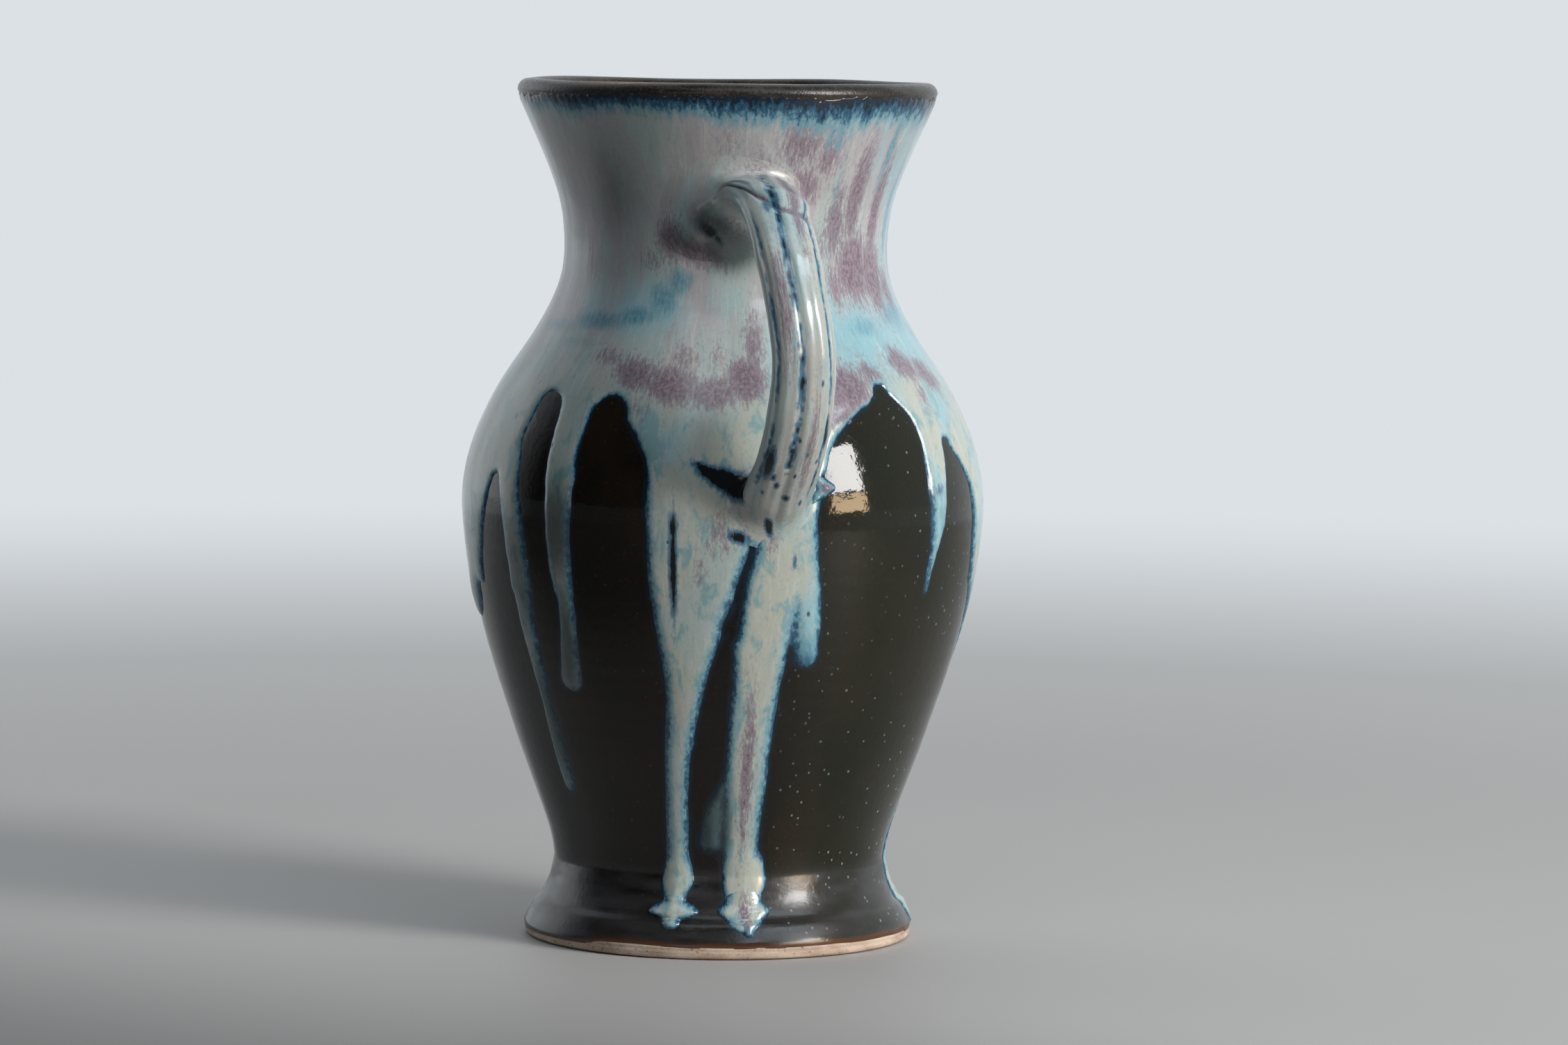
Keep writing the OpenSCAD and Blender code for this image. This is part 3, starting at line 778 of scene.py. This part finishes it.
def sweep(u, sides, grow):
    """Points [along, round] of the handle's skin at places u; grow(u, angle) is added to its half sizes."""
    s = np.array([path_at(v) for v in u])
    centre = np.stack([s[:, 0], -s[:, 1], s[:, 2]], -1)
    d = np.gradient(centre, axis=0)
    d /= np.linalg.norm(d, axis=1, keepdims=True)
    side = np.array([1.0, 0, 0]) - d * d[:, :1]
    side /= np.linalg.norm(side, axis=1, keepdims=True)
    out = np.cross(d, side)
    a = np.arange(sides) * 2 * math.pi / sides
    g = grow(u[:, None], a[None, :])
    return (centre[:, None] + side[:, None] * ((s[:, 3:4] / 2 + g) * np.cos(a))[..., None]
            + out[:, None] * ((s[:, 4:5] / 2 + g) * np.sin(a))[..., None])


def clay_tube(name, u0, u1, rows, node):
    """One piece of the handle's clay, half a millimetre inside the CAD's skin so that the glaze hides it."""
    sides = 32
    p = sweep(np.linspace(u0, u1, rows), sides, lambda u, a: -0.5 + 0 * u * a)
    faces = [tuple(q) for q in grid_faces(rows, sides)[:, ::-1]]
    faces += [tuple(range(sides)), tuple(range(rows * sides - 1, (rows - 1) * sides - 1, -1))]
    ob = add_mesh(name, p.reshape(-1, 3), faces)
    dress(ob, body_clay, node)


clay_tube("handle_clay", STRAP[0], STRAP[1], 70, "handle")
clay_tube("upper_lute_clay", 0.55, STRAP[0], 14, "upper_lute")
clay_tube("lower_lute_clay", STRAP[1], 11.6, 14, "lower_lute")

PALE_T = 0.9            # how thick the pale coat is where it lies evenly
ROOT_T = 0.85 * PALE_T  # and round the handle's roots

# a thumbed crease crosses the strap's upper end: (angle round it, place along it)
CREASE = [(30, 4.7), (90, 4.6), (125, 4.2), (150, 3.5), (168, 2.2)]


def past_crease(u, a):
    """How far a place is past the crease, along the strap."""
    angle, place = np.array(CREASE, float).T
    return u - np.interp(np.degrees(a), angle, place)


def strap_relief(u, a):
    """Glaze over the strap's clay: grooves along its lines, fine pulled ridges and hand-made unevenness."""
    face = np.maximum(0, np.sin(a))**1.5
    along = window(u, 1.6, 3.2, 10.4, 11.6)
    grooves = sum(0.55 * level * np.exp(-(off(np.degrees(a), middle) / 9)**2)
                  for middle, _, _, _, level in LINES)
    fine = 0.10 * np.cos(17 * a + 0.5) * face
    lumps = 0.30 * noise3(u * 1.1, np.cos(a) * 0.8, np.sin(a) * 0.8, 5)
    lumps = lumps + 0.12 * noise3(u * 3, np.cos(a) * 2, np.sin(a) * 2, 6)
    past, front = past_crease(u, a), step(np.sin(a), 0.15, 0.5)
    lumps = lumps + (1.2 * np.exp(-((past + 0.42) / 0.28)**2) - 1.0 * np.exp(-(past / 0.10)**2)) * front
    return PALE_T + (0.35 - grooves + fine) * along + lumps


def wall_coords(p):
    """(angle, height, distance out from the coated wall) of points near the vessel."""
    th = np.degrees(np.arctan2(p[..., 0], -p[..., 1]))
    return th, p[..., 2], np.hypot(p[..., 0], p[..., 1]) - wall_r(th, p[..., 2]) - ROOT_T


def along_column(values, at):
    """Values of a grid's columns at fractional row numbers, one row number for each column."""
    i = np.clip(np.floor(at).astype(int), 0, len(values) - 2)
    j = np.arange(values.shape[1])
    t = (at - i)[:, None] if values.ndim == 3 else at - i
    return values[i, j] * (1 - t) + values[i + 1, j] * t


def root(points, first, lean, reach):
    """The smooth flare of one end of the handle on to the wall.

    points is the skin's grid and first the direction to look for the wall in its rows. reach(angle) is
    how far the flare runs along the wall in that direction, lean how far it begins up the handle, both in
    mm. Returns the flare as wall coordinates, and the row of each column where it begins."""
    th, z, h = wall_coords(points)
    rows = np.arange(len(points))[::first]
    inside = h[rows] < 0
    last = np.where(inside.any(0), len(rows) - 1 - np.argmax(inside[::-1], axis=0), 0)
    hit = rows[np.minimum(last + 1, len(rows) - 1)].astype(float)
    foot_th, foot_z = along_column(th, hit), along_column(z, hit)
    spacing = np.linalg.norm(np.diff(points, axis=0), axis=2).mean(1)
    begin = hit + first * lean / spacing[hit.astype(int) - (first < 0)]
    top = [along_column(v, begin) for v in (th, z, h)]
    mm = np.radians(skin_r(foot_z))
    dx, dz = (foot_th - foot_th.mean()) * mm, foot_z - foot_z.mean()
    size = np.hypot(dx, dz)
    run = reach(np.degrees(np.arctan2(dz, dx)))
    far = [foot_th + run * dx / size / mm, foot_z + run * dz / size, np.full(len(hit), -0.35)]
    knee = [foot_th, foot_z, np.full(len(hit), 0.1)]
    t = np.linspace(0, 1, FLARE_ROWS)[:, None]
    return [(1 - t)**2 * a + 2 * t * (1 - t) * b + t**2 * c for a, b, c in zip(top, knee, far)], begin


def compass(levels):
    """A smooth function of direction through (degrees, value) pairs, 0 right and 90 up."""
    d, v = np.array(levels, float).T
    return lambda q: np.interp(q, np.append(d, d[0] + 360), np.append(v, v[0]), period=360)


SIDES = 120      # points round the handle's glaze
FLARE_ROWS, STRAP_ROWS = 30, 380
FINE_U = np.linspace(0.02, PATH_END - 0.02, 900)
skin = sweep(FINE_U, SIDES, strap_relief)
half_rows = len(FINE_U) // 2
upper_reach = compass([(-180, 15), (-135, 9), (-90, 6), (0, 7), (45, 9), (90, 11), (135, 17), (160, 20)])
lower_reach = compass([(-180, 8), (-135, 7), (-90, 6), (-45, 4), (0, 2), (45, 3), (90, 5), (150, 9)])
upper, begin = root(skin[:half_rows], 1, 7.0, upper_reach)
lower, end = root(skin[half_rows:], -1, 5.0, lower_reach)
end = end + half_rows
strap_at = begin[None, :] + (end - begin)[None, :] * np.linspace(0, 1, STRAP_ROWS)[:, None]
strap = np.stack([along_column(skin, row) for row in strap_at])


def flare_points(flare):
    th, z, h = flare
    return polar(th, wall_r(th, z) + ROOT_T + h, z)


p = np.concatenate([flare_points(upper)[:0:-1], strap, flare_points(lower)[1:]])
skirt = len(upper[0]) - 1
a = np.arange(SIDES) * 2 * math.pi / SIDES
uu = np.interp(np.concatenate([np.repeat(begin[None], skirt, 0), strap_at, np.repeat(end[None], skirt, 0)]),
               np.arange(len(FINE_U)), FINE_U)
aa = np.broadcast_to(a, uu.shape)
strap_deg = np.degrees(aa)
# the streaks' noise runs from the wall's at one root to the wall's at the other
th, zz, height = wall_coords(p)
on_wall = wall_flow(th, zz)
on_strap = np.stack([14 * np.cos(aa) - 5, 14 * np.sin(aa) - 60, 243 - (uu - 2) * 11], -1)
blend = skirt + 8  # so many rows at each end
fade_in = np.linspace(0, 1, blend)
fade = np.concatenate([fade_in[::-1], np.zeros(len(p) - 2 * blend), fade_in])[:, None]
flow = on_strap + (on_wall - on_strap) * step(fade, 0, 1)[..., None]

line_mark = np.zeros(uu.shape)
for middle, half, start, stop, level in LINES:
    wander = 3 * noise3(uu * 1.3, middle, 0, 21)
    broken = 0.70 + 0.35 * noise3(uu * 2.3, middle * 0.3, 1, 22)
    broken = broken + 0.45 * noise3(uu * 11, middle * 0.3 + aa * 9, 1, 23)
    across = np.exp(-((off(strap_deg, middle) - wander) / half)**2)
    ends = window(uu, start, start + 0.5, stop - 0.4, stop)
    line_mark = np.maximum(line_mark, level * broken * across * ends)
# soft spots on the strap: (place along it, angle round it, size along and round, strength)
PITS = [  # dark
    (9.0, 137, 0.40, 13, 1.3), (8.75, 98, 0.10, 5, 1.1), (9.5, 110, 0.10, 5, 1.1), (9.9, 88, 0.12, 7, 1.0),
    (8.4, 90, 0.06, 3, 1.0), (8.2, 98, 0.12, 5, 1.0), (8.0, 95, 0.05, 3, 0.9), (8.4, 32, 0.25, 6, 1.0),
    (8.9, 45, 0.08, 4, 0.9), (9.3, 120, 0.10, 5, 1.1), (9.8, 130, 0.08, 4, 0.9), (4.5, 112, 0.16, 10, 0.8),
    (9.2, 84, 0.06, 3, 0.9), (8.7, 70, 0.06, 3, 0.9), (7.4, 60, 0.06, 3, 0.9), (10.2, 60, 0.15, 4, 0.9),
]
VIOLETS = [(6.2, 122, 1.3, 18, 0.8), (4.2, 62, 1.6, 16, 0.9), (8.6, 68, 1.4, 14, 0.7)]


def strap_spots(rows):
    return [level * np.exp(-((uu - place) / long)**2 - (off(strap_deg, middle) / wide)**2)
            for place, middle, long, wide, level in rows]


near_wall = step(fade, 0.2, 0.9)
line_mark = line_mark * (1 - near_wall)
pits = np.max(strap_spots(PITS), axis=0) * (1 - near_wall)
violet = sum(strap_spots(VIOLETS))
# the wall's film, painted shade and purple go on over the roots, at the upper one up to 15 mm out from the
# wall, where the painted shade darkens the strap's underside
on_root = np.maximum(near_wall, (1 - step(height, 5, 15)) * (uu < UPPER_END))
# the dark marks on the roots, among them the hole's painted shade
root_marks = (1 - step(height, 3, 7)) * blobs(th, zz, DARK_MARKS)
crease = np.exp(-(past_crease(uu, aa) / 0.10)**2) * step(np.sin(aa), 0.15, 0.5) * (1 - near_wall)
wall_edge = np.maximum(edge_distance(th, zz), 3 * (zz > JOINT_Z))
INLAND = 9  # so far from an edge in mm, the glaze shows nothing of it
strap_edge = INLAND + (np.minimum(wall_edge + 1.5, INLAND) - INLAND) * step(fade, 0.55, 0.98)
fields = glaze_fields(
    uu, uu, flow=flow, edge=np.where(wall_edge < 3, strap_edge, INLAND), aqua=0.25, nicks=0.4,
    cream=0.55 + 0.2 * near_wall - 0.45 * step(fade, 0, 0.3) * (uu < UPPER_END),
    film=on_root * blobs(th, zz, FILM_AND_SHADE),
    purple=np.maximum(np.maximum(violet, crease), on_root * blobs(th, zz, PURPLE)),
    blue=np.maximum(0.9 * line_mark, near_wall * blobs(th, zz, BLUE)),
    mark=np.maximum(np.maximum(0.66 * line_mark, 0.75 * pits), np.maximum(root_marks, 0.2 * crease)))
# its grid runs the other way round than the wall's
handle = coat_mesh("handle_glaze", p, grid_faces(*uu.shape)[:, ::-1], -grid_normals(p), fields)
pale = pale_material()
dress(handle, pale, "handle_glaze")


# ---- glaze on the vessel

COLS = 440              # points round the wall
theta = np.arange(COLS) * 360 / COLS - 180
LIP_TOP = TOP_Z - 4.1   # the pale glaze reaches up to here under the bare brown lip
HIDDEN_Z = 190          # above this height the pale glaze covers the dark one all round
z_rows = np.concatenate([np.arange(BARE_Z - 1.4, 30, 0.8), np.arange(30, BAND_Z - 6, 1.15),
                         np.arange(BAND_Z - 6, LIP_TOP + 0.6, 0.6)])
TH, ZZ = np.meshgrid(theta, z_rows)
base_r = wall_r(TH, ZZ)
edge = edge_distance(TH, ZZ) + 0.35 * around(TH, ZZ, 3.2, 5.0, 41, 2) + 0.5 * around(TH, ZZ, 9, 22, 43, 2)

# the dark coat: its lower border wanders round the foot, and dives into the clay there
border = BARE_Z + 0.4 + 0.9 * around(TH, 0, 26, 9, 51, 3) - 2.0 * np.exp(-((TH + 75) / 28.0)**2)
above = ZZ - border
dark_r = base_r + np.where(above < 0.9, -0.55 * (1 - step(above, -0.8, 0.9)) - 0.25 * (above < -0.8), 0)
thin = 1 - step(above, 0.1, 1.5)
olive = window(TH, -10, 25, 110, 160)
specks = np.clip(0.10 + 0.65 * olive + 0.9 * olive * (1 - step(ZZ, 20, 70)), 0, 1.5)
# how matt the foot's glaze is: its roughness, and a painted sheen in its colour
matt_and_sheen = (1 - step(ZZ, 24, 30)) * (0.6 + 0.4 * around(TH, ZZ, 14, 2.5, 55, 2))
p = polar(TH, dark_r, ZZ)
# where the pale glaze hides it, every third row is enough
some = (z_rows < HIDDEN_Z) | (np.arange(len(z_rows)) % 3 == 0)
some[-1] = True
fields = dict(flow=wall_flow(TH, ZZ), edge=edge, thin=thin, olive=olive, specks=specks, matt_and_sheen=matt_and_sheen)
dark = coat_mesh("dark_glaze", p[some], grid_faces(int(some.sum()), COLS), grid_normals(p)[some],
                 {key: values[some] for key, values in fields.items()})
dress(dark, dark_material(), "dark_glaze")

# the pale coat, as thick as the distance to its edge lets it be, with a bead at each run's tip
TIP = 7  # size of a bead, in mm
tip = np.zeros(TH.shape)
for rows in RUNS:
    tip = np.maximum(tip, blob(TH, ZZ, *rows[-1][:2], TIP, TIP))
low = 1 - step(ZZ, 100, 190)
full_t = PALE_T * (0.85 + 0.35 * low) + 0.65 * tip + 0.12 * around(TH, ZZ, 9, 30, 61, 2)
thick = np.where(edge > 0, full_t * (1 - np.exp(-0.85 * edge / full_t)), 0.85 * edge)
rim_line = LIP_TOP - 0.7 + 0.9 * around(TH, 0, 18, 9, 71, 2) + 0.8 * around(TH, 0, 1.7, 9, 73, 2)
from_rim = rim_line - ZZ
top_fade = step(from_rim, 3.0, -0.4)
thick = np.maximum(thick * (1 - top_fade) + (0.32 - 0.5 * step(from_rim, 0.2, -0.5)) * top_fade, -0.9)
behind = step(np.abs(TH), 82, 104)   # the side that the photograph doesn't show has drifts of its own
drift = around(TH, ZZ, 17, 24, 65, 3) - 0.12
banks = window(ZZ, 178, 190, 196, 203) + window(ZZ, 210, 226, 256, 270)
purple = np.maximum(blobs(TH, ZZ, PURPLE), 1.7 * behind * banks * drift)
blue = blobs(TH, ZZ + 4 * behind * around(TH, 0, 40, 9, 66, 2), BLUE)
mark = blobs(TH, ZZ, DARK_MARKS)
# near the lip the pale glaze is thin again, as at its edge
rim_reach = 0.56 - 0.20 * window(TH, -30, 0, 90, 150) + 0.16 * around(TH, ZZ, 9, 40, 72, 2)
rim_reach = rim_reach + 0.12 * around(TH, ZZ, 2.4, 9, 74, 2)
narrow = 1 + 1.3 * step(ZZ, 146, 164) + 1.0 * (1 - step(ZZ, 26, 34))
pale_edge = np.minimum(edge * narrow, np.maximum(from_rim, 0.0) * np.maximum(rim_reach, 0.15) - 1.0)
aqua = np.clip(blobs(TH, ZZ, AQUA) + 0.25 * around(TH, ZZ, 14, 26, 63, 2), 0, 1)
cream = 1 - step(ZZ, 165, 215)
film = blobs(TH, ZZ, FILM_AND_SHADE)
nicks = np.clip(1.2 - step(ZZ, 150, 190), 0, 1)
p = polar(TH, base_r + thick, ZZ)
faces = grid_faces(len(z_rows), COLS, keep=thick > -0.45)
fields = glaze_fields(TH, ZZ, edge=pale_edge, purple=purple, blue=blue, mark=mark, aqua=aqua, cream=cream,
                      film=film, nicks=nicks)
coat = coat_mesh("pale_glaze", p, faces, grid_normals(p), fields)
dress(coat, pale, "pale_glaze")


BEAD_GRID = 0.42  # between the points of a bead, in degrees across and mm up


def bead(name, node, rows, height, spot):
    """A thick bead of pale glaze on the wall, in a streak's shape, with a purple spot."""
    spread = (max(w for _, _, w in rows) + 4) / np.radians(skin_r(rows[0][1]))
    bottom, top = rows[-1][1] - rows[-1][2] - 2, rows[0][1] + rows[0][2] + 2
    across, up = np.meshgrid(np.arange(rows[0][0] - spread, rows[0][0] + spread, BEAD_GRID),
                             np.arange(bottom, top, BEAD_GRID))
    d = streak_distance(across, up, rows) + 0.2 * around(across, up, 2.2, 2.2, 81, 2)
    full = height + 0.25 * around(across, up, 5, 3, 82, 2)
    h = np.maximum(np.where(d > 0, full * (1 - np.exp(-1.25 * d / full)), 0.9 * d), -0.9)
    points = polar(across, wall_r(across, up) + h, up)
    values = glaze_fields(across, up, edge=d * 1.3, purple=blobs(across, up, [spot]), aqua=0.3, cream=1)
    faces = grid_faces(*h.shape, wrap=False, keep=h > -0.4)
    ob = coat_mesh(name, points, faces, grid_normals(points, wrap=False), values)
    dress(ob, pale, node)


# where three runs stop on the foot's ledge
POOLS = {
    "pool_left": [(-27, 18, 3.5), (-27, 16, 7), (-27, 14, 8), (-27, 12, 3)],
    "pool_front": [(-4, 18, 6), (-4, 15, 8.5), (-4, 12, 6), (-3, 9, 2)],
    "pool_right": [(86, 18, 6), (86, 15, 9), (86, 12, 6)],
}
for name, rows in POOLS.items():
    bead(name, "foot_pools", rows, 1.7, (-4, 12, 3, 12, 0.9))
# a flake of clay raised beside the handle's lower root
FLAKE = [(7, 159, 0.8), (8.9, 156, 2.8), (10, 153.5, 4), (8.6, 151, 3), (6.5, 148, 1)]
bead("root_flake", "handle_glaze", FLAKE, 3.6, (10.4, 153.8, 2, 2.4, 1.6))


# ---- lip band and liner

band_t = TOP_Z - (lip_z + LIP_R)   # the band's thickness over the lip


def band_shape(th, r, z):
    wavy = 0.5 * around(th, 0, 60, 9, 91, 2) * step(z, BAND_Z + 2, TOP_Z)
    return r + wobble(th, np.minimum(z, BAND_Z)), z + wavy - 0.35


band_rows = [[skin_r(z) - 0.25 + 0.3 * step(z, BAND_Z - 1.2, BAND_Z + 1.0), z]
             for z in np.linspace(BAND_Z - 1.4, BAND_Z, 5)]
band_rows += [[np.interp(z, [BAND_Z, lip_z], [skin_r(BAND_Z) + 0.1, lip_out + band_t]), z]
              for z in np.linspace(BAND_Z + 0.8, lip_z, 6)]
band_rows += lip_rows(LIP_R + band_t, np.arange(7, 180, 7))
inner_at_lip = lip_out - 2 * LIP_R - band_t
band_rows += [[np.interp(z, [BAND_Z, lip_z], [inner_r(BAND_Z) - 0.1, inner_at_lip]), z]
              for z in np.linspace(lip_z - 0.4, BAND_Z, 6)]
band = lathe("rim_band", band_rows, 400, band_shape)
dress(band, rim_material(), "rim_band")

liner_rows = inner_rows(np.linspace(BAND_Z + 0.5, FLOOR_Z + 16, 110))
liner_rows += inner_rows(np.linspace(FLOOR_Z + 15, FLOOR_Z + 1, 12))
liner_rows += [[r, FLOOR_Z + up] for r, up in ((34, 0.5), (24, 0.9), (15, 0.5), (8, 1), (AXIS_R, 0.6))]
liner = lathe("liner_glaze", liner_rows, 256, follow_wall)
blue = np.array([0.85 * step(v.co.z / MM, 225, 268) for v in liner.data.vertices], np.float32)
liner.data.attributes.new("blue", "FLOAT", "POINT").data.foreach_set("value", blue)
dress(liner, liner_material(), "liner_glaze")


# ---- floor, light and camera

VIEW_AZ = -12.5             # the photograph's view, as an angle round the vase
ROOM = (0.92, 0.975, 1.02)  # colour of the room's light
BACK = 0.77                 # how bright the room is behind the vase


def facing(azimuth):
    """Level direction at an angle to the right of the photograph's view; 0 points to the camera."""
    a = math.radians(azimuth + VIEW_AZ)
    return (math.sin(a), -math.cos(a), 0.0)


def towards(n, direction, azimuth):
    """How far a direction or a place reaches towards an azimuth."""
    return n.vector_math("DOT_PRODUCT", direction, facing(azimuth))


def studio_level(n, direction, dim, side, back):
    """Brightness of the room by direction: dim round the camera, brighter to the right and behind."""
    right = n.span(towards(n, direction, 100), 0.1, 0.95, dim, side)
    return n.math("MAXIMUM", right, n.span(towards(n, direction, 180), 0.0, 0.5, dim, back))


def floor_material():
    """Pale near the vase, darker towards the camera, and far off as bright as the room behind it."""
    m, n, bsdf = material("stage_floor", Roughness=0.6)
    where = n.place()
    away = n.vector_math("LENGTH", where)
    direction = n.vector_math("NORMALIZE", where, output="Vector")
    tone = n.lay((0.44, 0.43, 0.42), (0.15, 0.145, 0.14), towards(n, where, -35), 0.05, 0.36)
    far = n.span(away, 0.35, 1.9)
    n.put(bsdf.inputs["Base Color"], n.mix(far, tone, 0.0))
    n.put(bsdf.inputs["Specular IOR Level"], n.span(away, 0.3, 0.9, 0.5, 0.0))
    bsdf.inputs["Emission Color"].default_value = (*ROOM, 1)
    level = studio_level(n, direction, 0.14, 0.62, BACK)
    n.put(bsdf.inputs["Emission Strength"], n.times(far, level))
    return m


# a hair below the foot, so that the two faces don't fight
bpy.ops.mesh.primitive_circle_add(vertices=128, radius=400, fill_type="NGON", location=(0, 0, -0.0002))
floor = bpy.context.object
floor.name = "floor"
floor.data.materials.append(floor_material())


LIT = Vector((0, 0, 0.15))  # the lights point here,
LIGHT_AWAY = 3.2            # from so many metres off


def softbox(name, azimuth, elevation, size, power, colour):
    """An area light; its azimuth is measured to the right of the photograph's view."""
    light = bpy.data.lights.new(name, "AREA")
    light.shape = "RECTANGLE"
    light.size, light.size_y = size
    light.energy = power
    light.color = colour
    ob = new_object(name, light)
    e = math.radians(elevation)
    ob.location = LIT + LIGHT_AWAY * (math.cos(e) * Vector(facing(azimuth)) + Vector((0, 0, math.sin(e))))
    ob.rotation_mode = "QUATERNION"
    ob.rotation_quaternion = (LIT - ob.location).to_track_quat("-Z", "Y")


softbox("window", 57, 21, (0.95, 1.15), 84, (1.0, 0.985, 0.96))
softbox("warm", 58, 4.5, (0.95, 0.5), 23, (1.0, 0.72, 0.44))
softbox("skylight", 45, 43, (2.6, 0.25), 18, (0.78, 0.89, 1.0))
softbox("ceiling", 10, 62, (2.8, 1.2), 14, (0.90, 0.95, 1.0))
softbox("front", -18, 4, (1.2, 0.8), 3.5, (0.93, 0.96, 1.0))
softbox("left_wall", -128, 12, (1.8, 1.6), 4, (0.92, 0.97, 1.0))

world = bpy.data.worlds.new("studio")
bpy.context.scene.world = world
world.use_nodes = True
wn = Nodes(world.node_tree)
direction = wn.add("ShaderNodeTexCoord").outputs["Generated"]
back_node = world.node_tree.nodes["Background"]
back_node.inputs["Color"].default_value = (*ROOM, 1)
wn.put(back_node.inputs["Strength"], studio_level(wn, direction, 0.05, 0.50, BACK))

camera = bpy.data.cameras.new("camera")
camera.lens, camera.sensor_width = 143.4, 36.0
camera.clip_start, camera.clip_end = 0.1, 1000
cam = new_object("camera", camera)
bpy.context.scene.camera = cam
CAMERA_AWAY, CAMERA_UP = 2.05, 0.300      # metres from the axis and over the foot
YAW, PITCH, ROLL = 0.567, 4.57, 0.75      # degrees; the pitch is downwards
az = math.radians(VIEW_AZ)
cam.location = (CAMERA_AWAY * math.sin(az), -CAMERA_AWAY * math.cos(az), CAMERA_UP)
cam.rotation_mode = "QUATERNION"
turn = Matrix.Identity(4)
for degrees, axis in ((VIEW_AZ - YAW, "Z"), (90 - PITCH, "X"), (ROLL, "Z")):
    turn = turn @ Matrix.Rotation(math.radians(degrees), 4, axis)
cam.rotation_quaternion = turn.to_quaternion()
bpy.context.scene.view_settings.view_transform = "Standard"
